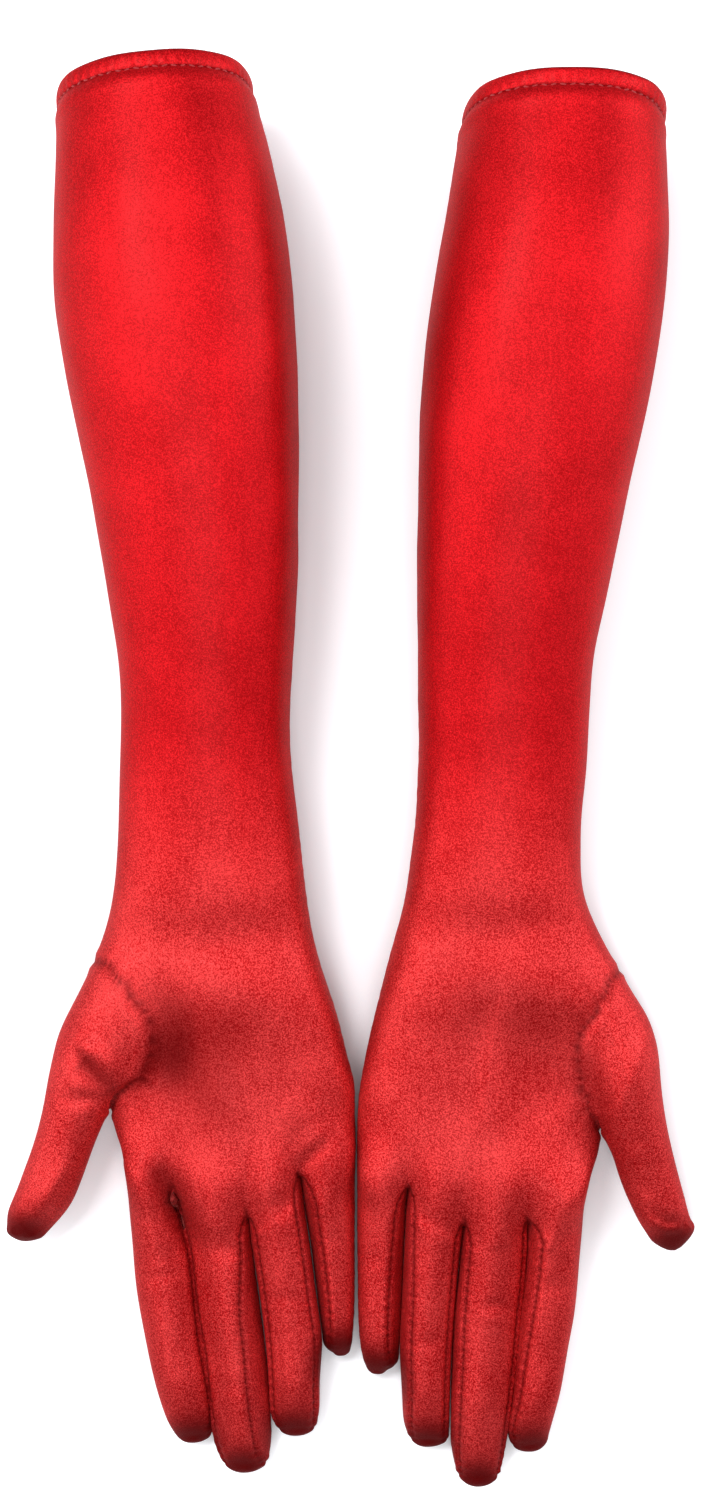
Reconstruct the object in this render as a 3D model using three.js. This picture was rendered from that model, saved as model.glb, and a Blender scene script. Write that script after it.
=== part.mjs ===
// A matched pair of long satin gloves, right and left, lying palm up: +Z is up, away from the palms,
// +Y runs from the fingertips to the cuffs, and the origin is at the bottom centre of the whole pair.
// Each glove is a set of thin cloth shells that keep the shape of a worn glove: a sleeve and a hand
// panel (the trank), finger fronts and backs, fourchettes between the fingers, a set-in thumb piece,
// a turned hem with an elastic in it, and threads. All lengths are in millimetres.
import * as THREE from 'three';

// ---- driving dimensions -------------------------------------------------------------------------
const CLOTH = 0.8;          // wall of every cloth shell
const EDGE = 0.3;           // how far each shell's edge stays back from its seam line
const FINGER_SIDE = 1.15;   // how far a finger's shells stay back from the slit between two fingers
const ROOT_GAP = 1.2;       // how far a finger's shells start from the hand's edge
const WEB_RISE = 6;         // the back of a finger starts this much nearer the cuff than its front
const TOP_POWER = 2.3;      // roundness of a section's upper half
const LOW_POWER = 2.5;      // roundness of a section's lower half
const PRESSED = 0.5;        // the cloth is pressed flat where it rests, this deep
const HEM_PLY = 0.6, HEM_FOLD = 3.2, HEM_DEPTH = 5.0;      // turned hem: ply, fold thickness, depth
const ELASTIC = [0.8, 3.6];                                // elastic: thickness, width
const THREAD = 0.5;
const SLEEVE_ROWS = [1, 3, 5, 7, 9, 11];
const HAND_ROWS = [11, 12, 13, 14, 15, 16, 17, 18];
const SPREAD = [-0.9, -0.7, -0.47, -0.235, 0, 0.235, 0.47, 0.7, 0.9];   // columns across the arm
const THUMB_ROWS = [13, 16];                               // rows the thumb hole lies between

// rows:    [y left, y right, x left, x right, z low, z side, z high, lean of the section]
// root:    [x, y, z high, z middle, z low], from the thumb side to the little-finger side
// fingers: st = [x thumb side, y, x little-finger side, y, z low, z high, front's share of width]
// thumb:   st = [x outer, y, x inner, y, z centre, half height]
// seam:    the thumb seam's corners on the palm (a, t, b) and on the back (u)
const GLOVE = {
  right: {
    rows: [
      [199.44, 204.97, -92.82, -33.75, 2.1, 30, 59.5, 6.0],
      [194.43, 199.95, -92.98, -32.51, 1.7, 30.5, 60.5, 6.0],
      [179.83, 184.74, -93.29, -28.19, 0, 31.5, 63, 4.5],
      [159.84, 163.51, -93.85, -23.58, 0, 32, 65.5, 2.5],
      [136.87, 138.71, -93.45, -20.67, 0, 32, 66, 1.2],
      [110.04, 110.65, -89.5, -19.16, 0, 31, 63.5, 0],
      [82.93, 82.93, -83.7, -18.74, 0, 29, 59, 0],
      [55.43, 55.43, -78.83, -19.25, 0, 26.5, 53.5, 0],
      [27.79, 27.79, -74.57, -20.84, 0.6, 23.8, 47.5, 0],
      [4.64, 4.64, -73.95, -21.51, 1.8, 21.8, 42.8, 0],
      [-15.49, -15.49, -74.35, -19.98, 3.0, 20.6, 39.6, 0],
      [-31.0, -31.0, -75.02, -18.14, 3.4, 20, 38.2, 0],
      [-48.1, -48.1, -77.27, -16.14, 2.6, 19, 37, 0],
      [-65.54, -65.54, -83.09, -12.58, 1.0, 18, 35.5, 0],
      [-80.22, -80.22, -81.0, -7.77, 0.3, 17, 34, 0],
      [-95.23, -95.23, -79.2, -4.05, 0, 16.2, 32.2, 0],
      [-110.23, -104.0, -78.0, -1.96, 0, 15.6, 30.6, 0],
      [-120.27, -113.42, -76.03, -1.71, 0.3, 15, 29, 0]
    ],
    root: [
      [-72.59, -129.73, 23.5, 14, 4.0],
      [-65.71, -131.73, 27, 0, 1.2],
      [-58.19, -135.57, 21.5, 13, 4.5],
      [-45.73, -140.73, 26.5, 0, 1.2],
      [-35.15, -144.31, 21.0, 12.5, 4.5],
      [-26.97, -139.03, 25.5, 0, 1.2],
      [-19.21, -131.68, 20.5, 12.5, 4.5],
      [-10.34, -127.82, 24, 0, 1.2],
      [-2.48, -124.56, 20.5, 12.5, 4.0]
    ],
    fingers: [
      {
        st: [
          [-72.41, -142.01, -57.49, -142.95, 2.0, 24.6, 0.74],
          [-71.24, -154.67, -53.65, -155.3, 2.0, 22.4, 0.74],
          [-69.91, -168.9, -51.83, -168.9, 2.0, 20.4, 0.75],
          [-67.16, -184.74, -49.44, -184.11, 1.7, 18.6, 0.76],
          [-64.12, -199.09, -47.88, -198.15, 1.1, 16.6, 0.78],
          [-60.45, -210.39, -46.69, -209.14, 0.8, 13.8, 0.8],
          [-57.21, -215.64, -48.25, -214.7, 2.2, 10.3, 0.82]
        ],
        tip: [-52.82, -218.21, 6.0]
      },
      {
        st: [
          [-56.18, -144.82, -34.8, -152.31, 2.0, 24.6, 0.74],
          [-53.12, -156.86, -33.53, -160.61, 2.0, 22.4, 0.74],
          [-51.14, -173.28, -31.9, -173.91, 2.0, 20.4, 0.75],
          [-48.85, -187.87, -30.28, -187.87, 1.7, 18.6, 0.76],
          [-47.25, -202.54, -29.0, -201.91, 1.1, 16.6, 0.78],
          [-45.22, -217.3, -28.42, -216.67, 0.8, 13.8, 0.8],
          [-42.12, -224.13, -29.86, -223.82, 2.2, 10.3, 0.82]
        ],
        tip: [-36.63, -227.65, 6.0]
      },
      {
        st: [
          [-33.93, -152.31, -18.1, -141.08, 2.0, 24.6, 0.74],
          [-32.72, -160.61, -15.78, -156.23, 2.0, 22.4, 0.74],
          [-31.12, -172.03, -14.08, -170.47, 2.0, 20.4, 0.75],
          [-29.34, -185.36, -12.99, -184.11, 1.7, 18.6, 0.76],
          [-28.28, -198.15, -12.7, -196.89, 1.1, 16.6, 0.78],
          [-27.23, -208.51, -13.19, -207.25, 0.8, 13.8, 0.8],
          [-24.99, -213.44, -14.84, -212.81, 2.2, 10.3, 0.82]
        ],
        tip: [-20.44, -216.01, 6.0]
      },
      {
        st: [
          [-17.66, -141.28, -1.72, -135.65, 2.0, 21.8, 0.74],
          [-15.49, -153.36, -1.72, -151.48, 2.0, 19.2, 0.74],
          [-13.94, -164.82, -1.75, -163.88, 1.8, 17.0, 0.75],
          [-12.7, -174.41, -1.88, -173.78, 1.3, 15.4, 0.76],
          [-11.37, -182.44, -2.26, -181.82, 1.0, 13.6, 0.78],
          [-9.9, -187.01, -2.89, -186.7, 1.2, 11.6, 0.8],
          [-8.49, -189.32, -3.93, -189.17, 2.6, 9.0, 0.82]
        ],
        tip: [-6.13, -190.78, 5.6]
      }
    ],
    thumb: {
      st: [
        [-92.93, -83.29, -78.01, -112.51, 17.5, 13.6],
        [-96.83, -98.23, -79.42, -116.26, 17.3, 11.6],
        [-99.08, -111.37, -81.97, -121.94, 16.6, 10.2],
        [-102.46, -123.64, -84.77, -129.55, 15.5, 9.5],
        [-106.36, -135.05, -88.42, -138.79, 14.0, 9.0],
        [-109.99, -144.36, -93.58, -146.08, 12.2, 7.9],
        [-110.3, -150.82, -99.51, -152.39, 10.8, 4.6]
      ],
      tip: [-105.85, -153.76, 10.0]
    },
    seam: {
      a: [
        [-83.09, -65.54],
        [-79.95, -65.47],
        [-76.56, -67.17],
        [-71.63, -72.1]
      ],
      t: [
        [-65.44, -80.92],
        [-64.44, -92.66]
      ],
      b: [
        [-67.56, -101.26],
        [-72.18, -104.03],
        [-75.72, -107.42],
        [-78.16, -112.1]
      ],
      u: [
        [-79.86, -67.78],
        [-77.66, -80.33],
        [-76.41, -96.02],
        [-76.41, -111.08]
      ]
    },
    radial: -1
  },
  left: {
    rows: [
      [195.76, 195.76, 32.22, 93.59, 2.1, 30, 59.5, 7.5],
      [190.75, 190.75, 30.97, 93.23, 1.7, 30.5, 60.5, 7.5],
      [177.08, 177.08, 28.49, 93.81, 0, 31.5, 63, 5.0],
      [158.61, 158.61, 25.26, 94.16, 0, 32, 65.5, 2.5],
      [137.79, 137.79, 21.89, 92.93, 0, 32, 66, 1.2],
      [110.35, 110.35, 18.7, 89.04, 0, 31, 63.5, 0],
      [82.93, 82.93, 17.81, 83.08, 0, 29, 59, 0],
      [55.43, 55.43, 17.71, 77.6, 0, 26.5, 53.5, 0],
      [27.79, 27.79, 18.06, 72.41, 0.6, 23.8, 47.5, 0],
      [4.64, 4.64, 18.1, 70.86, 1.8, 21.8, 42.8, 0],
      [-15.49, -15.49, 17.5, 69.24, 3.0, 20.6, 39.6, 0],
      [-31.0, -31.0, 15.96, 68.36, 3.4, 20, 38.2, 0],
      [-48.1, -48.1, 13.19, 70.6, 2.6, 19, 37, 0],
      [-67.72, -67.72, 7.92, 80.76, 1.0, 18, 35.5, 0],
      [-82.4, -82.4, 4.04, 76.65, 0.3, 17, 34, 0],
      [-98.03, -98.03, 0.62, 75.16, 0, 16.2, 32.2, 0],
      [-108.99, -114.59, -0.78, 74.58, 0, 15.6, 30.6, 0],
      [-119.65, -126.5, -1.0, 73.69, 0.3, 15, 29, 0]
    ],
    root: [
      [69.66, -136.53, 23.5, 14, 4.0],
      [61.71, -140.35, 27, 0, 1.2],
      [51.85, -145.79, 21.5, 13, 4.5],
      [42.03, -146.89, 26.5, 0, 1.2],
      [32.36, -146.79, 21.0, 12.5, 4.5],
      [23.58, -141.8, 25.5, 0, 1.2],
      [15.03, -135.71, 20.5, 12.5, 4.5],
      [6.64, -133.37, 24, 0, 1.2],
      [0.0, -130.75, 20.5, 12.5, 4.0]
    ],
    fingers: [
      {
        st: [
          [69.45, -146.7, 51.84, -153.87, 2.0, 24.6, 0.74],
          [68.43, -158.73, 51.09, -162.48, 2.0, 22.4, 0.74],
          [66.94, -175.16, 49.76, -175.78, 2.0, 20.4, 0.75],
          [64.81, -187.87, 48.69, -189.12, 1.7, 18.6, 0.76],
          [62.55, -201.28, 47.59, -202.54, 1.1, 16.6, 0.78],
          [59.82, -211.96, 46.51, -213.22, 0.8, 13.8, 0.8],
          [58.15, -217.53, 48.25, -218.47, 2.2, 10.3, 0.82]
        ],
        tip: [53.3, -221.04, 6.0]
      },
      {
        st: [
          [51.34, -153.87, 31.68, -154.81, 2.0, 24.6, 0.74],
          [50.62, -165.61, 30.4, -165.61, 2.0, 22.4, 0.74],
          [49.36, -178.29, 29.25, -178.29, 2.0, 20.4, 0.75],
          [48.22, -191.63, 28.59, -191.63, 1.7, 18.6, 0.76],
          [46.75, -205.67, 28.28, -205.36, 1.1, 16.6, 0.78],
          [44.65, -220.13, 28.92, -219.81, 0.8, 13.8, 0.8],
          [42.75, -227.9, 31.28, -227.59, 2.2, 10.3, 0.82]
        ],
        tip: [36.95, -232.05, 6.0]
      },
      {
        st: [
          [31.37, -153.87, 14.39, -143.57, 2.0, 24.6, 0.74],
          [30.4, -162.48, 13.65, -156.23, 2.0, 22.4, 0.74],
          [29.56, -173.28, 13.04, -172.03, 2.0, 20.4, 0.75],
          [28.65, -186.93, 12.78, -186.3, 1.7, 18.6, 0.76],
          [28.06, -200.66, 12.92, -200.03, 1.1, 16.6, 0.78],
          [27.48, -211.65, 13.85, -211.02, 0.8, 13.8, 0.8],
          [25.71, -216.59, 16.19, -216.27, 2.2, 10.3, 0.82]
        ],
        tip: [20.91, -219.47, 6.0]
      },
      {
        st: [
          [14.22, -144.09, -1.0, -140.03, 2.0, 21.8, 0.74],
          [13.52, -155.23, -0.97, -154.61, 2.0, 19.2, 0.74],
          [12.94, -167.96, -0.88, -167.64, 1.8, 17.0, 0.75],
          [12.39, -179.11, -0.66, -178.8, 1.3, 15.4, 0.76],
          [11.62, -187.15, -0.06, -186.84, 1.0, 13.6, 0.78],
          [10.21, -192.35, 1.19, -192.04, 1.2, 11.6, 0.8],
          [8.02, -194.98, 2.67, -194.67, 2.6, 9.0, 0.82]
        ],
        tip: [5.19, -196.6, 5.6]
      }
    ],
    thumb: {
      st: [
        [88.11, -78.94, 74.75, -119.03, 17.5, 14.6],
        [92.49, -90.16, 76.32, -123.11, 17.2, 12.8],
        [93.65, -104.23, 78.25, -126.94, 16.4, 11.2],
        [95.46, -116.48, 80.29, -133.3, 15.4, 10.2],
        [98.4, -129.13, 83.28, -140.35, 14.0, 9.2],
        [101.69, -141.83, 87.0, -147.3, 12.4, 8.0],
        [104.33, -149.85, 91.04, -153.45, 11.0, 4.6]
      ],
      tip: [98.47, -156.71, 10.2]
    },
    seam: {
      a: [
        [80.92, -68.34],
        [78.72, -69.79],
        [76.41, -72.4],
        [72.87, -77.33]
      ],
      t: [
        [68.51, -85.21],
        [66.83, -95.73]
      ],
      b: [
        [68.17, -105.26],
        [70.33, -110.8],
        [72.48, -114.5],
        [74.73, -118.64]
      ],
      u: [
        [77.98, -70.92],
        [75.47, -84.1],
        [74.21, -99.79],
        [73.59, -115.48]
      ]
    },
    radial: 1
  }
};
const FINGERS = ['index', 'middle', 'ring', 'little'];
const COLOURS = { satin: 0xd5141c, fourchette: 0xb81018, hem: 0xc2141c, thread: 0x9c0d14, elastic: 0xd9cdc6 };

// ---- one glove's net of points and faces ----------------------------------------------------------
function net(G) {
  const P = new Map(), faces = [];
  const R = G.radial;
  const section = (row, f, top) => {
    const [yl, yr, xl, xr, zb, zs, zt, lean] = row;
    const t = (f * -R + 1) / 2;                            // 0 at the left end, 1 at the right end
    const drop = top ? (zt - zs) * Math.pow(Math.max(0, 1 - Math.pow(Math.abs(f), TOP_POWER)), 1 / TOP_POWER)
      : -(zs - zb + PRESSED) * Math.pow(Math.max(0, 1 - Math.pow(Math.abs(f), LOW_POWER)), 1 / LOW_POWER);
    return [xl + (xr - xl) * t, yl + (yr - yl) * t + lean * drop / (zt - zs), Math.max(0, zs + drop)];
  };
  const at = (row, x, top) => {                            // height of the section at a given x
    const c = (row[2] + row[3]) / 2, h = (row[3] - row[2]) / 2;
    return section(row, Math.max(-1, Math.min(1, (x - c) / h)) * -R, top)[2];
  };
  const last = G.rows.length;                              // the root row's number
  const root = G.root, w0 = Math.abs(root[8][0] - root[0][0]) / 2, c0 = (root[8][0] + root[0][0]) / 2;
  const rootF = root.map(p => (p[0] - c0) / w0 * 0.93 * -R);
  G.rows.forEach((row, r) => {
    const mix = Math.max(0, Math.min(1, (r - 11) / (last - 11)));
    for (let k = 0; k < 9; k++) {
      const f = SPREAD[k] + (rootF[k] - SPREAD[k]) * mix;
      P.set(`r${r}c${k}`, section(row, f, true));
      P.set(`r${r}c${18 - k}`, section(row, f, false));
    }
    P.set(`r${r}c9`, section(row, 1, true));
    P.set(`r${r}c19`, section(row, -1, true));
  });
  root.forEach(([x, y, zt, , zb], k) => {
    P.set(`r${last}c${k}`, [x, y, zt]);
    P.set(`r${last}c${18 - k}`, [x, y + WEB_RISE, zb]);
  });
  P.set(`r${last}c9`, [root[8][0] - R * 0.9, root[8][1] + 3, root[8][3]]);
  P.set(`r${last}c19`, [root[0][0] + R * 1.1, root[0][1] + 3, root[0][3]]);
  for (let i = 1; i < 4; i++) P.set(`w${i}`, [root[2 * i][0], root[2 * i][1] + 2.5, root[2 * i][3]]);
  // thumb seam
  const s = G.seam, put = (r, c, p, top) => P.set(`r${r}c${c}`, [p[0], p[1], at(G.rows[r], p[0], top)]);
  P.set('r13c19', [...s.a[0], G.rows[13][5]]);
  [0, 1, 2].forEach(k => put(13, k, s.a[k + 1], true));
  put(14, 2, s.t[0], true); put(15, 2, s.t[1], true);
  [2, 1, 0].forEach((k, j) => put(16, k, s.b[j], true));
  P.set('r16c19', [...s.b[3], G.rows[16][5]]);
  s.u.forEach((p, j) => put(13 + j, 18, p, false));
  // faces of the sleeve and the hand
  const add = (part, ids) => faces.push({ part, ids: R < 0 ? ids : ids.slice().reverse() });
  for (const [part, rows] of [['sleeve', SLEEVE_ROWS], ['hand', HAND_ROWS]])
    for (let j = 0; j + 1 < rows.length; j++)
      for (let c = 0; c < 20; c++) {
        const d = (c + 1) % 20, thumb = rows[j] >= THUMB_ROWS[0] && rows[j] < THUMB_ROWS[1];
        if (thumb && (c < 2 || c > 17)) continue;
        add(part, [`r${rows[j]}c${c}`, `r${rows[j + 1]}c${c}`, `r${rows[j + 1]}c${d}`, `r${rows[j]}c${d}`]);
      }
  // fingers
  FINGERS.forEach((name, i) => {
    const low = k => `r${last}c${18 - k}`, high = k => `r${last}c${k}`;
    const ring = [high(2 * i), high(2 * i + 1), high(2 * i + 2), i === 3 ? `r${last}c9` : `w${i + 1}`,
      low(2 * i + 2), low(2 * i + 1), low(2 * i), i === 0 ? `r${last}c19` : `w${i}`];
    const F = G.fingers[i], ids = [ring.map((id, m) => `${name}0_${m}`)];
    ring.forEach((id, m) => {                              // the finger's own first ring, drawn in from the webs
      const p = P.get(id).slice(), inward = (m < 1 || m > 5) ? 1 : (m > 1 && m < 5) ? -1 : 0;
      if ((inward > 0 && i > 0) || (inward < 0 && i < 3)) p[0] -= inward * R * FINGER_SIDE * 0.9;
      p[1] -= ROOT_GAP;
      P.set(`${name}0_${m}`, p);
    });
    F.st.forEach(([xa, ya, xb, yb, zb, zt, k], j) => {
      const a = i > 0 ? FINGER_SIDE : 0, b = i < 3 ? FINGER_SIDE : 0;
      xa -= R * a; xb += R * b;
      const zc = (zb + zt) / 2, h = (zt - zb) / 2, rise = j === 0 ? WEB_RISE / 2 : 0;
      const v = (f, up) => {
        const e = h * Math.pow(Math.max(0, 1 - Math.pow(Math.abs(f), 2.2)), 1 / 2.2) * up;
        return [xa + (xb - xa) * (f + 1) / 2, ya + (yb - ya) * (f + 1) / 2 + rise * (h - e) / (2 * h), zc + e];
      };
      const row = [v(-k, 1), v(0, 1), v(k, 1), v(1, 1), v(k, -1), v(0, -1), v(-k, -1), v(-1, 1)];
      row.forEach((p, m) => P.set(`${name}${j + 1}_${m}`, p));
      ids.push(row.map((p, m) => `${name}${j + 1}_${m}`));
    });
    P.set(`${name}tip`, F.tip);
    const part = m => {
      const n = (m + 1) % 8, pair = `${m}${n}`;
      if (pair === '01' || pair === '12') return 'front';
      if (pair === '45' || pair === '56') return 'back';
      if (pair === '23' || pair === '34') return i < 3 ? 'little_side' : pair === '23' ? 'front' : 'back';
      return i > 0 ? 'thumb_side' : pair === '70' ? 'front' : 'back';
    };
    for (let j = 0; j + 1 < ids.length; j++)
      for (let m = 0; m < 8; m++) {
        const n = (m + 1) % 8;
        add(`${name}_${part(m)}`, [ids[j][m], ids[j + 1][m], ids[j + 1][n], ids[j][n]]);
      }
    const e = ids[ids.length - 1], C = `${name}tip`;
    add(`${name}_front`, [e[0], e[7], C, e[1]]); add(`${name}_front`, [e[1], C, e[3], e[2]]);
    add(`${name}_back`, [C, e[5], e[4], e[3]]); add(`${name}_back`, [e[7], e[6], e[5], C]);
  });
  // thumb piece
  const loop = ['r13c19', 'r13c0', 'r13c1', 'r13c2', 'r14c2', 'r15c2', 'r16c2', 'r16c1', 'r16c0', 'r16c19',
    'r16c18', 'r15c18', 'r14c18', 'r13c18'];
  const rings = [loop];
  G.thumb.st.forEach(([xo, yo, xi, yi, zc, h], j) => {
    const ids = loop.map((id, m) => {
      const a = m <= 9 ? Math.PI * m / 9 : Math.PI * (1 + (m - 9) / 5), f = (1 - Math.cos(a)) / 2;
      P.set(`thumb${j}_${m}`, [xo + (xi - xo) * f, yo + (yi - yo) * f, zc + h * Math.sin(a)]);
      return `thumb${j}_${m}`;
    });
    rings.push(ids);
  });
  P.set('thumbtip', G.thumb.tip);
  for (let j = 0; j + 1 < rings.length; j++)
    for (let m = 0; m < 14; m++) add('thumb', [rings[j][m], rings[j + 1][m], rings[j + 1][(m + 1) % 14], rings[j][(m + 1) % 14]]);
  const e = rings[rings.length - 1];
  for (let m = 0; m < 14; m += 2) add('thumb', [e[m], 'thumbtip', e[(m + 2) % 14], e[m + 1]]);
  return { P, faces };
}

// normals of the net, each the sum of its faces' normals
function normals(P, faces) {
  const N = new Map();
  for (const { ids } of faces) {
    const q = ids.map(i => new THREE.Vector3(...P.get(i)));
    const n = q[2].clone().sub(q[0]).cross(q[3].clone().sub(q[1]));
    for (const i of ids) N.set(i, (N.get(i) || new THREE.Vector3()).add(n));
  }
  for (const n of N.values()) n.normalize();
  return N;
}

function geometry(vertices, triangles) {
  const g = new THREE.BufferGeometry();
  g.setAttribute('position', new THREE.Float32BufferAttribute(vertices.flat(), 3));
  g.setIndex(triangles.flat());
  g.computeVertexNormals();
  return g;
}

// a closed thin shell from some of the net's faces, its edge drawn back by EDGE
function shell(P, N, faces, wall = CLOTH) {
  const number = new Map(), centres = new Map();
  for (const { ids } of faces) {
    const c = ids.reduce((a, i) => a.add(new THREE.Vector3(...P.get(i))), new THREE.Vector3()).divideScalar(ids.length);
    for (const i of ids) {
      if (!number.has(i)) number.set(i, number.size);
      centres.set(i, [...(centres.get(i) || []), c]);
    }
  }
  const edges = new Map();
  for (const { ids } of faces) ids.forEach((a, k) => edges.set(`${a}|${ids[(k + 1) % ids.length]}`, [a, ids[(k + 1) % ids.length]]));
  const rim = [...edges.values()].filter(([a, b]) => !edges.has(`${b}|${a}`));
  const onRim = new Set(rim.flat());
  const outer = [], inner = [];
  for (const i of number.keys()) {
    const p = new THREE.Vector3(...P.get(i));
    if (onRim.has(i)) {
      const to = centres.get(i).reduce((a, c) => a.add(c), new THREE.Vector3()).divideScalar(centres.get(i).length).sub(p);
      to.addScaledVector(N.get(i), -to.dot(N.get(i))).normalize();
      p.addScaledVector(to, EDGE);
    }
    outer.push(p.toArray());
    inner.push(p.addScaledVector(N.get(i), -wall).toArray());
  }
  const n = number.size, tri = [];
  for (const { ids } of faces) {
    const q = ids.map(i => number.get(i));
    tri.push([q[0], q[1], q[2]], [q[0], q[2], q[3]]);
    tri.push([q[0] + n, q[2] + n, q[1] + n], [q[0] + n, q[3] + n, q[2] + n]);
  }
  for (const [a, b] of rim) {
    const i = number.get(a), j = number.get(b);
    tri.push([j, i, i + n], [j, i + n, j + n]);
  }
  return geometry([...outer, ...inner], tri);
}

// a closed band: a section of [inward, down] points swept round a loop of frames
function band(frames, section, flip) {
  const vertices = [], tri = [], m = section.length, n = frames.length;
  for (const { p, inward, down } of frames)
    for (const [a, b] of section)
      vertices.push(p.clone().addScaledVector(inward, a).addScaledVector(down, b).toArray());
  for (let j = 0; j < n; j++)
    for (let k = 0; k < m; k++) {
      const a = j * m + k, b = j * m + (k + 1) % m, c = ((j + 1) % n) * m + (k + 1) % m, d = ((j + 1) % n) * m + k;
      const t = [[a, b, c], [a, c, d]];
      tri.push(...(flip ? t.map(x => x.slice().reverse()) : t));
    }
  return geometry(vertices, tri);
}

function glove(side) {
  const G = GLOVE[side], { P, faces, loop } = net(G), N = normals(P, faces), group = new THREE.Group();
  const put = (name, g, colour) => {
    const mesh = new THREE.Mesh(g, new THREE.MeshStandardMaterial({ color: colour, roughness: 0.42, metalness: 0 }));
    mesh.name = `${side}_${name}`;
    group.add(mesh);
  };
  const of = (...parts) => faces.filter(f => parts.includes(f.part));
  put('sleeve', shell(P, N, of('sleeve')), COLOURS.satin);
  put('hand', shell(P, N, of('hand')), COLOURS.satin);
  put('thumb', shell(P, N, of('thumb')), COLOURS.satin);
  put('index_front_and_back', shell(P, N, of('index_front', 'index_back')), COLOURS.satin);
  for (const f of ['middle', 'ring', 'little'])
    for (const s of ['front', 'back']) put(`${f}_${s}`, shell(P, N, of(`${f}_${s}`)), COLOURS.satin);
  FINGERS.slice(0, 3).forEach((f, i) => {
    put(`fourchette_${f}_${FINGERS[i + 1]}_leg_on_${f}`, shell(P, N, of(`${f}_little_side`)), COLOURS.fourchette);
    put(`fourchette_${f}_${FINGERS[i + 1]}_leg_on_${FINGERS[i + 1]}`, shell(P, N, of(`${FINGERS[i + 1]}_thumb_side`)), COLOURS.fourchette);
  });
  // hem, elastic and hem thread follow the cuff's ring
  const frames = [], threadFrames = [];
  for (let c = 0; c < 20; c++) {
    const a = new THREE.Vector3(...P.get(`r0c${c}`)), b = new THREE.Vector3(...P.get(`r1c${c}`));
    const down = b.clone().sub(a).normalize();
    const prev = new THREE.Vector3(...P.get(`r0c${(c + 19) % 20}`)), next = new THREE.Vector3(...P.get(`r0c${(c + 1) % 20}`));
    const inward = next.sub(prev).cross(down).multiplyScalar(G.radial).normalize();
    const centre = new THREE.Vector3((G.rows[0][2] + G.rows[0][3]) / 2, a.y, G.rows[0][5]);
    if (inward.dot(centre.clone().sub(a)) < 0) inward.negate();
    frames.push({ p: a, inward, down });
    threadFrames.push({ p: b, inward, down });
  }
  const t = HEM_PLY, w = HEM_FOLD, d = HEM_DEPTH - EDGE;
  put('hem', band(frames, [[0, 0.5], [0.5, 0], [w - 0.5, 0], [w, 0.5], [w, d], [w - t, d], [w - t, t + 0.2], [t, t + 0.2], [t, d], [0, d]], G.radial < 0), COLOURS.hem);
  const e0 = (w - ELASTIC[0]) / 2;
  put('cuff_elastic', band(frames, [[e0, 1.1], [e0 + ELASTIC[0], 1.1], [e0 + ELASTIC[0], 1.1 + ELASTIC[1]], [e0, 1.1 + ELASTIC[1]]], G.radial < 0), COLOURS.elastic);
  const h = THREAD / 2;
  put('hem_thread', band(threadFrames, [[-0.2 - THREAD, -h], [-0.2, -h], [-0.2, h], [-0.2 - THREAD, h]], G.radial < 0), COLOURS.thread);
  return group;
}

const model = new THREE.Group();
for (const side of ['right', 'left']) model.add(glove(side));
// the pair's bottom centre is the origin
model.updateMatrixWorld(true);
const box = new THREE.Box3().setFromObject(model, true);
model.position.set(-(box.min.x + box.max.x) / 2, -(box.min.y + box.max.y) / 2, -box.min.z);
export default model;
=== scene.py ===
"""A pair of elbow-length satin gloves, right and left, lying palm up on a pale floor."""
import json
import math

import bpy
import numpy as np
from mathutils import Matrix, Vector
from mathutils.kdtree import KDTree


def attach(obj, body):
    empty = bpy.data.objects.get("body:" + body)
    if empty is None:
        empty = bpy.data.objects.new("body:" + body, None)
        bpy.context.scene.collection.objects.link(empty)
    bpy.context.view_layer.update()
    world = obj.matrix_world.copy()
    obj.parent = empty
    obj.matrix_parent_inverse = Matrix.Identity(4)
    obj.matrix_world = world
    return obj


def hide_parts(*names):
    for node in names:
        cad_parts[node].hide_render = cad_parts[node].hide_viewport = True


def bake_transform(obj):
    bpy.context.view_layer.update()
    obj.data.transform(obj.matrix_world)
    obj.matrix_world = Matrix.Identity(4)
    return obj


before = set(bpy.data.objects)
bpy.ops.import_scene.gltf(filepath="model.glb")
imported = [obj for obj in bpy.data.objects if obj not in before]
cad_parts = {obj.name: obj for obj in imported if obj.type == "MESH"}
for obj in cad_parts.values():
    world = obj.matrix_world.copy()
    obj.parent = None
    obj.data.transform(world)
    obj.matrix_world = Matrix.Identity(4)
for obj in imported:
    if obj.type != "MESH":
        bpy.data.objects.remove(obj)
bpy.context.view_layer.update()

MM = 0.001
SHIFT = np.array([2.9850006103515625, 11.574424743652344, 0.0])  # the tables' origin in the row frame, mm
CLOTH = 0.5            # cloth thickness, mm
LEVEL = 3
CONTACT = {"right": (0.95, 0.30, 0.32), "left": (0.55, 0.22, 0.18)}   # net gap at each slit where two fingers touch, mm
# how far down the fingers touch: the y where each slit starts to open
OPENS = {"right": (-260, -171, -260), "left": (-260, -181, -260)}
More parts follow.
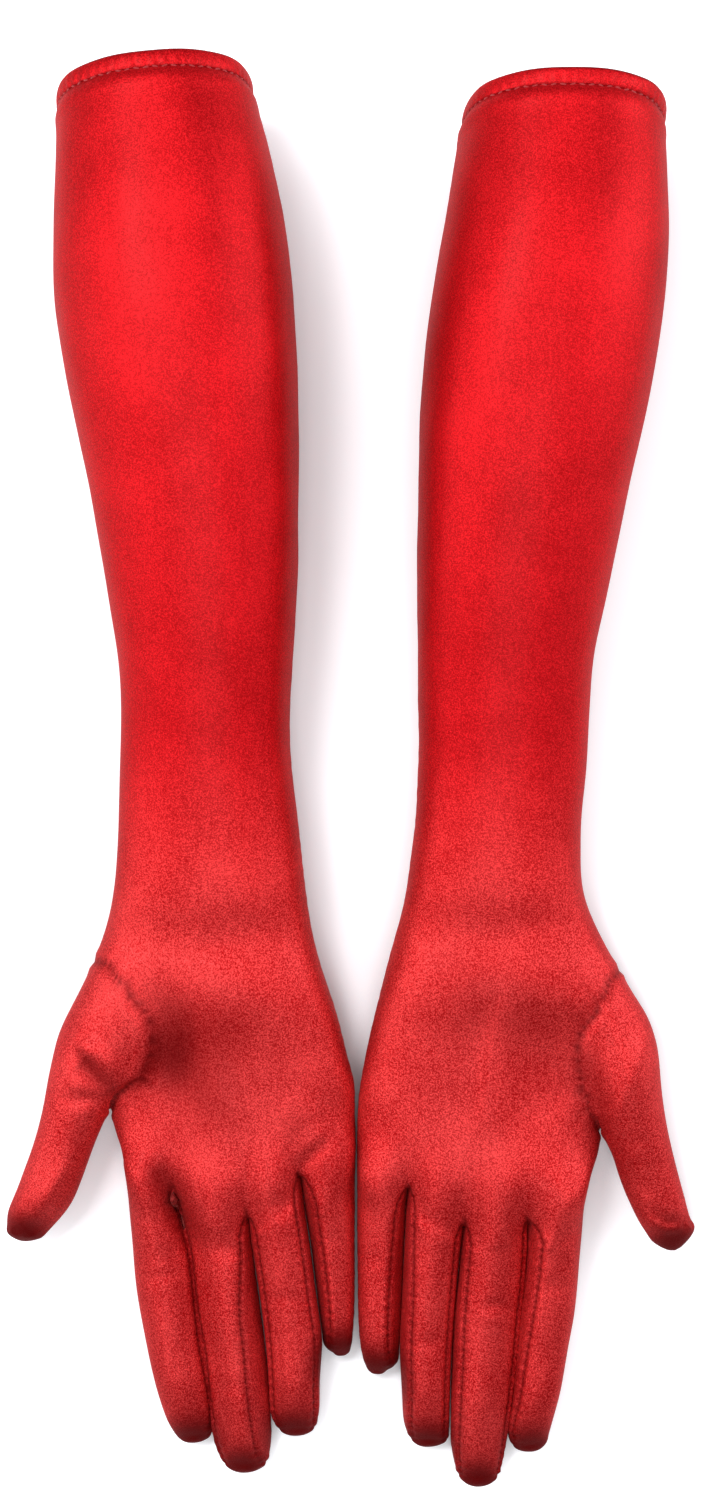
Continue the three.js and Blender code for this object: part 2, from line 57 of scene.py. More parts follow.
# where the fourchette seams lie, as shares of the half width at the seven stations: (thumb side, little side) of each finger
SEAMS = {
    "right": [
        ((0.74,) * 7, (0.93,) * 7),
        ((0.93,) * 7, (0.74, 0.62, 0.42, 0.36, 0.34, 0.42, 0.6)),
        ((0.76, 0.78, 0.80, 0.84, 0.88, 0.88, 0.86), (0.74, 0.74, 0.74, 0.76, 0.78, 0.8, 0.82)),
        ((0.55, 0.50, 0.45, 0.44, 0.5, 0.6, 0.7), (0.74,) * 7),
    ],
    "left": [
        ((0.74,) * 7, (0.50, 0.48, 0.54, 0.64, 0.74, 0.8, 0.82)),
        ((0.92,) * 7, (0.76, 0.74, 0.70, 0.68, 0.70, 0.74, 0.8)),
        ((0.78, 0.80, 0.80, 0.80, 0.80, 0.8, 0.82), (0.74, 0.68, 0.62, 0.60, 0.62, 0.68, 0.76)),
        ((0.58, 0.50, 0.44, 0.42, 0.46, 0.56, 0.7), (0.74,) * 7),
    ],
}
WEB_RISE = 6
TOP_POWER, LOW_POWER, PRESSED = 2.3, 2.5, 0.5
SPREAD = [-0.9, -0.7, -0.47, -0.235, 0, 0.235, 0.47, 0.7, 0.9]
FINGERS = ["index", "middle", "ring", "little"]
TIP_TOPS = {"index": (17.0, 12.6, 8.2, 4.2), "middle": (17.0, 12.8, 8.4, 4.2), "ring": (16.8, 12.4, 8.2, 4.2), "little": (13.4, 10.4, 7.4, 3.9)}

# rows: y left, y right, x left, x right, z low, z side, z high, lean.  root: x, y, z high, z middle, z low.
# fingers: x thumb side, y, x little-finger side, y, z low, z high, front's share.  thumb: x outer, y, x inner, y, z, half height.
GLOVE = {'left': {'fingers': [{'st': [[69.45, -146.7, 51.84, -153.87, 2.0, 24.6, 0.74],
                              [68.43, -158.73, 51.09, -162.48, 2.0, 22.4, 0.74],
                              [66.94, -175.16, 49.76, -175.78, 2.0, 20.4, 0.75],
                              [64.81, -187.87, 48.69, -189.12, 1.7, 18.6, 0.76],
                              [62.55, -201.28, 47.59, -202.54, 1.1, 16.6, 0.78],
                              [59.82, -211.96, 46.51, -213.22, 0.8, 13.8, 0.8],
                              [58.15, -217.53, 48.25, -218.47, 2.2, 10.3, 0.82]],
                       'tip': [53.3, -221.04, 6.0]},
                      {'st': [[51.34, -153.87, 31.68, -154.81, 2.0, 24.6, 0.74],
                              [50.62, -165.61, 30.4, -165.61, 2.0, 22.4, 0.74],
                              [49.36, -178.29, 29.25, -178.29, 2.0, 20.4, 0.75],
                              [48.22, -191.63, 28.59, -191.63, 1.7, 18.6, 0.76],
                              [46.75, -205.67, 28.28, -205.36, 1.1, 16.6, 0.78],
                              [44.65, -220.13, 28.92, -219.81, 0.8, 13.8, 0.8],
                              [42.75, -227.9, 31.28, -227.59, 2.2, 10.3, 0.82]],
                       'tip': [36.95, -232.05, 6.0]},
                      {'st': [[31.37, -153.87, 14.39, -143.57, 2.0, 24.6, 0.74],
                              [30.4, -162.48, 13.65, -156.23, 2.0, 22.4, 0.74],
                              [29.56, -173.28, 13.04, -172.03, 2.0, 20.4, 0.75],
                              [28.65, -186.93, 12.78, -186.3, 1.7, 18.6, 0.76],
                              [28.06, -200.66, 12.92, -200.03, 1.1, 16.6, 0.78],
                              [27.48, -211.65, 13.85, -211.02, 0.8, 13.8, 0.8],
                              [25.71, -216.59, 16.19, -216.27, 2.2, 10.3, 0.82]],
                       'tip': [20.91, -219.47, 6.0]},
                      {'st': [[14.22, -144.09, -1.0, -140.03, 2.0, 21.8, 0.74],
                              [13.52, -155.23, -0.97, -154.61, 2.0, 19.2, 0.74],
                              [12.94, -167.96, -0.88, -167.64, 1.8, 17.0, 0.75],
                              [12.39, -179.11, -0.66, -178.8, 1.3, 15.4, 0.76],
                              [11.62, -187.15, -0.06, -186.84, 1.0, 13.6, 0.78],
                              [10.21, -192.35, 1.19, -192.04, 1.2, 11.6, 0.8],
                              [8.02, -194.98, 2.67, -194.67, 2.6, 9.0, 0.82]],
                       'tip': [5.19, -196.6, 5.6]}],
          'radial': 1,
          'root': [[69.66, -136.53, 23.5, 14, 4.0], [61.71, -140.35, 27, 0, 1.2],
                   [51.85, -145.79, 21.5, 13, 4.5], [42.03, -146.89, 26.5, 0, 1.2],
                   [32.36, -146.79, 21.0, 12.5, 4.5], [23.58, -141.8, 25.5, 0, 1.2],
                   [15.03, -135.71, 20.5, 12.5, 4.5], [6.64, -133.37, 24, 0, 1.2],
                   [0.0, -130.75, 20.5, 12.5, 4.0]],
          'rows': [[195.76, 195.76, 32.22, 93.59, 2.1, 30, 59.5, 7.5],
                   [190.75, 190.75, 30.97, 93.23, 1.7, 30.5, 60.5, 7.5],
                   [177.08, 177.08, 28.49, 93.81, 0, 31.5, 63, 5.0],
                   [158.61, 158.61, 25.26, 94.16, 0, 32, 65.5, 2.5],
                   [137.79, 137.79, 21.89, 92.93, 0, 32, 66, 1.2],
                   [110.35, 110.35, 18.7, 89.04, 0, 31, 63.5, 0], [82.93, 82.93, 17.81, 83.08, 0, 29, 59, 0],
                   [55.43, 55.43, 17.71, 77.6, 0, 26.5, 53.5, 0],
                   [27.79, 27.79, 18.06, 72.41, 0.6, 23.8, 47.5, 0],
                   [4.64, 4.64, 18.1, 70.86, 1.8, 21.8, 42.8, 0],
                   [-15.49, -15.49, 17.5, 69.24, 3.0, 20.6, 39.6, 0],
                   [-31.0, -31.0, 15.96, 68.36, 3.4, 20, 38.2, 0],
                   [-48.1, -48.1, 13.19, 70.6, 2.6, 19, 37, 0],
                   [-67.72, -67.72, 7.92, 80.76, 1.0, 18, 35.5, 0],
                   [-82.4, -82.4, 4.04, 76.65, 0.3, 17, 34, 0],
                   [-98.03, -98.03, 0.62, 75.16, 0, 16.2, 32.2, 0],
                   [-108.99, -114.59, -0.78, 74.58, 0, 15.6, 30.6, 0],
                   [-119.65, -126.5, -1.0, 73.69, 0.3, 15, 29, 0]],
          'seam': {'a': [[80.92, -68.34], [78.72, -69.79], [76.41, -72.4], [72.87, -77.33]],
                   'b': [[68.17, -105.26], [70.33, -110.8], [72.48, -114.5], [74.73, -118.64]],
                   't': [[68.51, -85.21], [66.83, -95.73]],
                   'u': [[77.98, -70.92], [75.47, -84.1], [74.21, -99.79], [73.59, -115.48]]},
          'thumb': {'st': [[88.11, -78.94, 74.75, -119.03, 17.5, 14.6],
                           [92.49, -90.16, 76.32, -123.11, 17.2, 12.8],
                           [93.65, -104.23, 78.25, -126.94, 16.4, 11.2],
                           [95.46, -116.48, 80.29, -133.3, 15.4, 10.2],
                           [98.4, -129.13, 83.28, -140.35, 14.0, 9.2],
                           [101.69, -141.83, 87.0, -147.3, 12.4, 8.0],
                           [104.33, -149.85, 91.04, -153.45, 11.0, 4.6]],
                    'tip': [98.47, -156.71, 10.2]}},
 'right': {'fingers': [{'st': [[-72.41, -142.01, -57.49, -142.95, 2.0, 24.6, 0.74],
                               [-71.24, -154.67, -53.65, -155.3, 2.0, 22.4, 0.74],
                               [-69.91, -168.9, -51.83, -168.9, 2.0, 20.4, 0.75],
                               [-67.16, -184.74, -49.44, -184.11, 1.7, 18.6, 0.76],
                               [-64.12, -199.09, -47.88, -198.15, 1.1, 16.6, 0.78],
                               [-60.45, -210.39, -46.69, -209.14, 0.8, 13.8, 0.8],
                               [-57.21, -215.64, -48.25, -214.7, 2.2, 10.3, 0.82]],
                        'tip': [-52.82, -218.21, 6.0]},
                       {'st': [[-56.18, -144.82, -34.8, -152.31, 2.0, 24.6, 0.74],
                               [-53.12, -156.86, -33.53, -160.61, 2.0, 22.4, 0.74],
                               [-51.14, -173.28, -31.9, -173.91, 2.0, 20.4, 0.75],
                               [-48.85, -187.87, -30.28, -187.87, 1.7, 18.6, 0.76],
                               [-47.25, -202.54, -29.0, -201.91, 1.1, 16.6, 0.78],
                               [-45.22, -217.3, -28.42, -216.67, 0.8, 13.8, 0.8],
                               [-42.12, -224.13, -29.86, -223.82, 2.2, 10.3, 0.82]],
                        'tip': [-36.63, -227.65, 6.0]},
                       {'st': [[-33.93, -152.31, -18.1, -141.08, 2.0, 24.6, 0.74],
                               [-32.72, -160.61, -15.78, -156.23, 2.0, 22.4, 0.74],
                               [-31.12, -172.03, -14.08, -170.47, 2.0, 20.4, 0.75],
                               [-29.34, -185.36, -12.99, -184.11, 1.7, 18.6, 0.76],
                               [-28.28, -198.15, -12.7, -196.89, 1.1, 16.6, 0.78],
                               [-27.23, -208.51, -13.19, -207.25, 0.8, 13.8, 0.8],
                               [-24.99, -213.44, -14.84, -212.81, 2.2, 10.3, 0.82]],
                        'tip': [-20.44, -216.01, 6.0]},
                       {'st': [[-17.66, -141.28, -1.72, -135.65, 2.0, 21.8, 0.74],
                               [-15.49, -153.36, -1.72, -151.48, 2.0, 19.2, 0.74],
                               [-13.94, -164.82, -1.75, -163.88, 1.8, 17.0, 0.75],
                               [-12.7, -174.41, -1.88, -173.78, 1.3, 15.4, 0.76],
                               [-11.37, -182.44, -2.26, -181.82, 1.0, 13.6, 0.78],
                               [-9.9, -187.01, -2.89, -186.7, 1.2, 11.6, 0.8],
                               [-8.49, -189.32, -3.93, -189.17, 2.6, 9.0, 0.82]],
                        'tip': [-6.13, -190.78, 5.6]}],
           'radial': -1,
           'root': [[-72.59, -129.73, 23.5, 14, 4.0], [-65.71, -131.73, 27, 0, 1.2],
                    [-58.19, -135.57, 21.5, 13, 4.5], [-45.73, -140.73, 26.5, 0, 1.2],
                    [-35.15, -144.31, 21.0, 12.5, 4.5], [-26.97, -139.03, 25.5, 0, 1.2],
                    [-19.21, -131.68, 20.5, 12.5, 4.5], [-10.34, -127.82, 24, 0, 1.2],
                    [-2.48, -124.56, 20.5, 12.5, 4.0]],
           'rows': [[199.44, 204.97, -92.82, -33.75, 2.1, 30, 59.5, 6.0],
                    [194.43, 199.95, -92.98, -32.51, 1.7, 30.5, 60.5, 6.0],
                    [179.83, 184.74, -93.29, -28.19, 0, 31.5, 63, 4.5],
                    [159.84, 163.51, -93.85, -23.58, 0, 32, 65.5, 2.5],
                    [136.87, 138.71, -93.45, -20.67, 0, 32, 66, 1.2],
                    [110.04, 110.65, -89.5, -19.16, 0, 31, 63.5, 0],
                    [82.93, 82.93, -83.7, -18.74, 0, 29, 59, 0],
                    [55.43, 55.43, -78.83, -19.25, 0, 26.5, 53.5, 0],
                    [27.79, 27.79, -74.57, -20.84, 0.6, 23.8, 47.5, 0],
                    [4.64, 4.64, -73.95, -21.51, 1.8, 21.8, 42.8, 0],
                    [-15.49, -15.49, -74.35, -19.98, 3.0, 20.6, 39.6, 0],
                    [-31.0, -31.0, -75.02, -18.14, 3.4, 20, 38.2, 0],
                    [-48.1, -48.1, -77.27, -16.14, 2.6, 19, 37, 0],
                    [-65.54, -65.54, -83.09, -12.58, 1.0, 18, 35.5, 0],
                    [-80.22, -80.22, -81.0, -7.77, 0.3, 17, 34, 0],
                    [-95.23, -95.23, -79.2, -4.05, 0, 16.2, 32.2, 0],
                    [-110.23, -104.0, -78.0, -1.96, 0, 15.6, 30.6, 0],
                    [-120.27, -113.42, -76.03, -1.71, 0.3, 15, 29, 0]],
           'seam': {'a': [[-83.09, -65.54], [-79.95, -65.47], [-76.56, -67.17], [-71.63, -72.1]],
                    'b': [[-67.56, -101.26], [-72.18, -104.03], [-75.72, -107.42], [-78.16, -112.1]],
                    't': [[-65.44, -80.92], [-64.44, -92.66]],
                    'u': [[-79.86, -67.78], [-77.66, -80.33], [-76.41, -96.02], [-76.41, -111.08]]},
           'thumb': {'st': [[-92.93, -83.29, -78.01, -112.51, 17.5, 13.6],
                            [-96.83, -98.23, -79.42, -116.26, 17.3, 11.6],
                            [-99.08, -111.37, -81.97, -121.94, 16.6, 10.2],
                            [-102.46, -123.64, -84.77, -129.55, 15.5, 9.5],
                            [-106.36, -135.05, -88.42, -138.79, 14.0, 9.0],
                            [-109.99, -144.36, -93.58, -146.08, 12.2, 7.9],
                            [-110.3, -150.82, -99.51, -152.39, 10.8, 4.6]],
                     'tip': [-105.85, -153.76, 10.0]}}}

# folds and swellings of the worn cloth: piece, kind, place, half width and height, all mm
FOLDS = {'left': [('palm', 'spot', [33.49, -96.35], (25, 24), -2.4), ('palm', 'spot', [35.9, -73.95], (25, 9), 2.0),
          ('palm', 'spot', [40.97, -55.44], (26, 6), -1.4), ('palm', 'spot', [60.04, -82.5], (6.5, 7), 1.6),
          ('palm', 'spot', [9.64, -94.83], (8, 26), 0.9), ('palm', 'spot', [33.6, -135.01], (26, 7.5), 1.8),
          ('palm', 'line', [[65.61, -85.65], [66.22, -94.83], [68.37, -104.0]], 1.3, 0.7),
          ('thumb', 'line', [[69.81, -88.98], [71.03, -100.64], [74.1, -114.14]], 2.8, -1.4),
          ('thumb', 'spot', [75.17, -82.06], (5, 8), 1.0),
          ('thumb', 'line', [[77.49, -89.35], [82.11, -103.21], [87.04, -121.7]], 4.0, 0.7),
          ('thumb', 'line', [[80.44, -127.1], [84.78, -133.92], [90.36, -139.5]], 3.0, -0.8),
          ('thumb', 'line', [[89.67, -141.91], [94.04, -146.28], [99.65, -147.22]], 1.5, -0.9),
          ('thumb', 'line', [[91.1, -146.58], [95.48, -148.76], [101.1, -148.14]], 1.2, 0.9),
          ('middle', 'line', [[38.21, -172.63], [42.54, -171.7], [46.87, -174.17]], 1.4, -0.5),
          ('middle', 'line', [[38.83, -175.1], [41.92, -177.58], [43.16, -181.91]], 1.5, 0.35),
          ('middle', 'spot', [38.21, -191.81], (4.5, 10), 0.4),
          ('index', 'line', [[54.91, -167.06], [59.24, -165.82], [65.43, -167.99]], 1.8, -0.35),
          ('index', 'spot', [57.08, -182.53], (4.5, 9), 0.4),
          ('ring', 'line', [[18.39, -147.73], [21.79, -145.87], [25.81, -147.73]], 2.8, -0.7),
          ('ring', 'line', [[16.57, -183.33], [21.52, -184.26], [25.86, -182.71]], 1.7, -0.3),
          ('ring', 'spot', [21.5, -165.51], (4.0, 9), 0.4),
          ('little', 'line', [[1.7, -159.8], [4.8, -158.25], [7.9, -159.8]], 1.8, -0.3)],
 'right': [('palm', 'spot', [-57.66, -94.83], (7.0, 17), -3.4),
           ('palm', 'spot', [-39.31, -101.55], (24, 25), -2.6),
           ('palm', 'spot', [-39.27, -76.39], (24, 9), 2.2),
           ('palm', 'spot', [-44.32, -57.27], (26, 6), -1.5),
           ('palm', 'spot', [-14.22, -102.47], (8, 26), 1.0),
           ('palm', 'spot', [-39.43, -134.39], (21, 7.5), 1.9),
           ('palm', 'line', [[-63.98, -128.87], [-60.29, -135.62], [-56.3, -142.99], [-52.93, -151.58]], 2.8,
            -2.6),
           ('palm', 'line', [[-9.97, -120.59], [-14.57, -124.88], [-18.56, -129.18]], 1.3, -1.4),
           ('palm', 'line', [[-13.04, -119.36], [-17.64, -123.35], [-21.33, -128.26]], 1.9, 0.8),
           ('palm', 'line', [[-37.59, -141.45], [-31.76, -141.45]], 0.9, -0.8),
           ('thumb', 'spot', [-74.18, -79.53], (8, 12), 1.2),
           ('thumb', 'line', [[-86.86, -88.55], [-81.33, -93.47], [-74.56, -102.69]], 1.7, 2.3),
           ('thumb', 'line', [[-86.25, -95.32], [-82.25, -99.62], [-77.02, -104.54]], 2.8, -2.6),
           ('thumb', 'line', [[-90.64, -107.72], [-83.87, -107.11], [-77.1, -108.34]], 2.0, -1.2),
           ('thumb', 'line', [[-72.41, -89.17], [-70.56, -94.7], [-71.49, -100.24]], 2.0, -1.0),
           ('thumb', 'line', [[-89.62, -126.12], [-95.21, -136.06], [-100.18, -144.13]], 2.4, 1.5),
           ('thumb', 'line', [[-93.73, -141.6], [-98.72, -147.22], [-104.33, -150.33]], 2.6, -1.4),
           ('index', 'line', [[-68.15, -165.03], [-62.58, -163.18], [-56.4, -161.63]], 1.5, -0.35),
           ('index', 'line', [[-65.06, -158.23], [-59.49, -157.0], [-54.55, -158.23]], 2.2, -0.3),
           ('index', 'spot', [-62.03, -180.98], (4.5, 10), 0.5),
           ('middle', 'line', [[-47.75, -155.14], [-42.8, -153.6], [-37.86, -155.14]], 3.0, -0.9),
           ('middle', 'line', [[-44.75, -200.06], [-39.79, -198.2], [-36.08, -199.13]], 1.6, -0.3),
           ('middle', 'spot', [-40.99, -179.43], (4.5, 10), 0.4),
           ('ring', 'line', [[-28.59, -142.16], [-24.88, -140.31], [-21.17, -142.16]], 3.0, -0.9),
           ('ring', 'line', [[-28.03, -171.26], [-23.69, -169.71], [-19.36, -170.64]], 1.6, -0.3),
           ('ring', 'spot', [-23.98, -158.4], (4.0, 9), 0.5),
           ('little', 'line', [[-10.37, -152.36], [-6.35, -151.13]], 1.6, -0.25)]}
# painted shade in the hollows: spots ((x, y), (half width, half height)) and lines (points, half width), each with its
# strength
PAINTED_HOLLOW_SHADE = {'left': [('line', ([(68.88, -95.73), (70.42, -104.32), (74.1, -116.6)], 4.5), 0.42),
          ('spot', ((44.2, -71.88), (22.0, 13.0)), 0.18)],
 'right': [('spot', ((-57.05, -95.44), (8.0, 15.0)), 0.85), ('spot', ((-50.93, -101.55), (14.0, 18.0)), 0.5),
           ('line', ([(-63.98, -129.49), (-59.68, -136.85), (-54.16, -149.12)], 4.5), 0.45),
           ('line', ([(-84.4, -95.93), (-81.33, -100.24), (-77.02, -104.54)], 3.0), 0.45)]}

# parts of the net, in the order of their face numbers
PARTS = ["hemstrip", "palm", "backhand", "thumb"] + [f"{f}_{s}" for f in FINGERS for s in ("front", "back", "little_side", "thumb_side")]


def smooth(x, a, b):
    t = np.clip((x - a) / (b - a), 0, 1)
    return t * t * (3 - 2 * t)


# ---- the net of one glove ------------------------------------------------------------------------
def halfway(st):
    """Stations with one more between each two, on a smooth curve."""
    a = np.array(st, float)
    out = []
    for j in range(len(a) - 1):
        before, after = a[max(j - 1, 0)], a[min(j + 2, len(a) - 1)]
        out += [a[j], (9 * (a[j] + a[j + 1]) - before - after) / 16]
    return [*out, a[-1]]


def slit_moves(G, opens, contact):
    """For each finger and station, how far its thumb side and little side move so that touching fingers meet, mm."""
    R, F = G["radial"], [np.array(f["st"], float) for f in G["fingers"]]
    move = [np.zeros((len(f), 2)) for f in F]
    for i in range(3):
        mine, other = F[i], F[i + 1]
        for near, far, near_x, near_y, far_x, far_y, who, column in (
            (mine, other, 2, 3, 0, 1, i, 1), (other, mine, 0, 1, 2, 3, i + 1, 0)):
            order = np.argsort(far[:, far_y])
            for j, p in enumerate(near):
                x = np.interp(p[near_y], far[order, far_y], far[order, far_x])
                gap = abs(x - p[near_x])
                if p[near_y] < far[order[0], far_y] - 1:
                    continue
                target = contact[i] * (0.2 if j == 0 else 1.0) if p[near_y] > opens[i] else min(gap, 0.7)
                if gap < 3.2:
                    move[who][j, column] = math.copysign((gap - target) / 2, x - p[near_x])
    return move


def net(G, opens, shares, contact):
    P, faces, R = {}, [], G["radial"]
    moves = slit_moves(G, opens, contact)

    def section(row, f, top):
        yl, yr, xl, xr, zb, zs, zt, lean = row
        t = (f * -R + 1) / 2
        if top:
            drop = (zt - zs) * max(0, 1 - abs(f) ** TOP_POWER) ** (1 / TOP_POWER)
        else:
            drop = -(zs - zb + PRESSED) * max(0, 1 - abs(f) ** LOW_POWER) ** (1 / LOW_POWER)
        return np.array([xl + (xr - xl) * t, yl + (yr - yl) * t + lean * drop / (zt - zs), max(0.0, zs + drop)])

    def at(row, x, top):
        c, h = (row[2] + row[3]) / 2, (row[3] - row[2]) / 2
        return section(row, max(-1, min(1, (x - c) / h)) * -R, top)[2]

    last, root = len(G["rows"]), G["root"]
    w0, c0 = abs(root[8][0] - root[0][0]) / 2, (root[8][0] + root[0][0]) / 2
    root_f = [(p[0] - c0) / w0 * 0.93 * -R for p in root]
    for r, row in enumerate(G["rows"]):
        mix = max(0, min(1, (r - 11) / (last - 11)))
        for k in range(9):
            f = SPREAD[k] + (root_f[k] - SPREAD[k]) * mix
            P[f"r{r}c{k}"] = section(row, f, True)
            P[f"r{r}c{18 - k}"] = section(row, f, False)
        P[f"r{r}c9"] = section(row, 1, True)
        P[f"r{r}c19"] = section(row, -1, True)
    for k, (x, y, zt, _, zb) in enumerate(root):
        P[f"r{last}c{k}"] = np.array([x, y, zt], float)
        P[f"r{last}c{18 - k}"] = np.array([x, y + WEB_RISE, zb], float)
    P[f"r{last}c9"] = np.array([root[8][0] - R * 0.9, root[8][1] + 3, root[8][3]], float)
    P[f"r{last}c19"] = np.array([root[0][0] + R * 1.1, root[0][1] + 3, root[0][3]], float)
    for i in range(1, 4):
        P[f"w{i}"] = np.array([root[2 * i][0], root[2 * i][1] + 2.5, root[2 * i][3]], float)
    if R < 0:
        P["w1"] = P["w1"] + np.array([0.0, -6.5, 8.0])
    s = G["seam"]

    def put(r, c, p, top):
        P[f"r{r}c{c}"] = np.array([p[0], p[1], at(G["rows"][r], p[0], top)], float)

    P["r13c19"] = np.array([*s["a"][0], G["rows"][13][5]], float)
    for k in range(3):
        put(13, k, s["a"][k + 1], True)
    put(14, 2, s["t"][0], True)
    put(15, 2, s["t"][1], True)
    for j, k in enumerate((2, 1, 0)):
        put(16, k, s["b"][j], True)
    P["r16c19"] = np.array([*s["b"][3], G["rows"][16][5]], float)
    for j, p in enumerate(s["u"]):
        put(13 + j, 18, p, False)

    def add(part, ids):
        faces.append((part, ids if R < 0 else ids[::-1]))

    for r in range(last):
        for c in range(20):
            if 13 <= r < 16 and (c < 2 or c > 17):
                continue
            d = (c + 1) % 20
            part = "hemstrip" if r == 0 else "palm" if c < 9 or c == 19 else "backhand"
            add(part, [f"r{r}c{c}", f"r{r + 1}c{c}", f"r{r + 1}c{d}", f"r{r}c{d}"])
    for i, name in enumerate(FINGERS):
        high = lambda k: f"r{last}c{k}"
        low = lambda k: f"r{last}c{18 - k}"
        ids = [[high(2 * i), high(2 * i + 1), high(2 * i + 2), f"r{last}c9" if i == 3 else f"w{i + 1}",
                low(2 * i + 2), low(2 * i + 1), low(2 * i), f"r{last}c19" if i == 0 else f"w{i}"]]
        F = G["fingers"][i]
        st = [list(x) for x in F["st"]]
        for j, x in enumerate(st):
            x[0] += moves[i][j, 0]
            x[2] += moves[i][j, 1]
        # the last ring is full, as the tip is blunt
        for j, wide, far in ((6, 0.55, 0.2), (5, 0.2, 0.0)):
            st[j][0] += R * wide
            st[j][2] -= R * wide
            st[j][1] -= far
            st[j][3] -= far
        for n, z in enumerate(TIP_TOPS[name][:3]):
            st[4 + n][5] = z
            st[4 + n][4] = min(st[4 + n][4], z * 0.18)
        st = [[*x[:6], shares[i][0][j], shares[i][1][j]] for j, x in enumerate(st)]
        for j, (xa, ya, xb, yb, zb, zt, k0, k1) in enumerate(halfway(st)):
            zc, h = (zb + zt) / 2, (zt - zb) / 2
            rise = WEB_RISE / 2 if j == 0 else WEB_RISE / 5 if j == 1 else 0
            row = []
            for m, (f, up) in enumerate([(-k0, 1), ((k1 - k0) / 2, 1), (k1, 1), (1, 1), (0.74, -1), (0, -1), (-0.74, -1), (-1, 1)]):
                e = h * max(0, 1 - abs(f) ** 2.2) ** (1 / 2.2) * up
                P[f"{name}{j + 1}_{m}"] = np.array([xa + (xb - xa) * (f + 1) / 2, ya + (yb - ya) * (f + 1) / 2 + rise * (h - e) / (2 * h), zc + e])
                row.append(f"{name}{j + 1}_{m}")
            ids.append(row)
        tip = np.array([F["tip"][0], F["tip"][1], TIP_TOPS[name][3]], float)
        cap = []
        for n in ids[-1]:
            p = P[n]
            side_way = np.array([tip[0] + (p[0] - tip[0]) * 0.64, p[1] + (tip[1] - p[1]) * 0.66, tip[2] + (p[2] - tip[2]) * 0.66])
            P[n + "_cap"] = side_way
            cap.append(n + "_cap")
        ids.append(cap)
        P[f"{name}tip"] = tip

        def part(m):
            pair = (m, (m + 1) % 8)
            if pair in ((0, 1), (1, 2)):
                return "front"
            if pair in ((4, 5), (5, 6)):
                return "back"
            if pair in ((2, 3), (3, 4)):
                return "little_side" if i < 3 else "front" if pair == (2, 3) else "back"
            return "thumb_side" if i > 0 else "front" if pair == (7, 0) else "back"

        for j in range(len(ids) - 1):
            for m in range(8):
                n = (m + 1) % 8
                here = part(m) if j < len(ids) - 2 else "front" if m in (7, 0, 1, 2) else "back"
                add(f"{name}_{here}", [ids[j][m], ids[j + 1][m], ids[j + 1][n], ids[j][n]])
        e, C = ids[-1], f"{name}tip"
        add(f"{name}_front", [e[0], e[7], C, e[1]])
        add(f"{name}_front", [e[1], C, e[3], e[2]])
        add(f"{name}_back", [C, e[5], e[4], e[3]])
        add(f"{name}_back", [e[7], e[6], e[5], C])
    loop = ["r13c19", "r13c0", "r13c1", "r13c2", "r14c2", "r15c2", "r16c2", "r16c1", "r16c0", "r16c19", "r16c18", "r15c18", "r14c18", "r13c18"]
    rings = [loop]
    for j, (xo, yo, xi, yi, zc, h) in enumerate(halfway(G["thumb"]["st"])):
        row = []
        for m in range(14):
            a = math.pi * m / 9 if m <= 9 else math.pi * (1 + (m - 9) / 5)
            f = (1 - math.cos(a)) / 2
            P[f"thumb{j}_{m}"] = np.array([xo + (xi - xo) * f, yo + (yi - yo) * f, zc + h * math.sin(a)])
            row.append(f"thumb{j}_{m}")
        rings.append(row)
    P["thumbtip"] = np.array(G["thumb"]["tip"], float)
    for j in range(len(rings) - 1):
        for m in range(14):
            n = (m + 1) % 14
            add("thumb", [rings[j][m], rings[j + 1][m], rings[j + 1][n], rings[j][n]])
    e = rings[-1]
    for m in range(0, 14, 2):
        add("thumb", [e[m], "thumbtip", e[(m + 2) % 14], e[m + 1]])
    return P, faces


# ---- mesh helpers --------------------------------------------------------------------------------
def mesh_object(name, verts, polys, materials=()):
    me = bpy.data.meshes.new(name)
    me.from_pydata([tuple(map(float, v)) for v in verts], [], [list(map(int, p)) for p in polys])
    for m in materials:
        me.materials.append(m)
    ob = bpy.data.objects.new(name, me)
    bpy.context.scene.collection.objects.link(ob)
    return ob


def quad_normals(V, Q):
    """Smooth normals of a quad mesh, one a vertex."""
    a, b, c, d = (V[Q[:, k]] for k in range(4))
    n = np.cross(c - a, d - b)
    N = np.zeros_like(V)
    for k in range(4):
        np.add.at(N, Q[:, k], n)
    return N / np.maximum(np.linalg.norm(N, axis=1, keepdims=True), 1e-12)


def eased(V, Q, weight, times):
    """V with its bumps smoothed away where weight is above 0."""
    E = np.concatenate([Q[:, [k, (k + 1) % 4]] for k in range(4)])
    E = E[(weight[E] > 0).any(axis=1)]
    E = np.unique(np.sort(E, axis=1), axis=0)
    used, small = np.unique(E, return_inverse=True)
    small = small.reshape(E.shape)
    near = np.zeros(len(used))
    np.add.at(near, small.ravel(), 1)
    P, w = V[used].copy(), weight[used][:, None]
    for _ in range(times):
        S = np.zeros_like(P)
        np.add.at(S, small[:, 0], P[small[:, 1]])
        np.add.at(S, small[:, 1], P[small[:, 0]])
        P += 0.5 * w * (S / near[:, None] - P)
    out = V.copy()
    out[used] = P
    return out


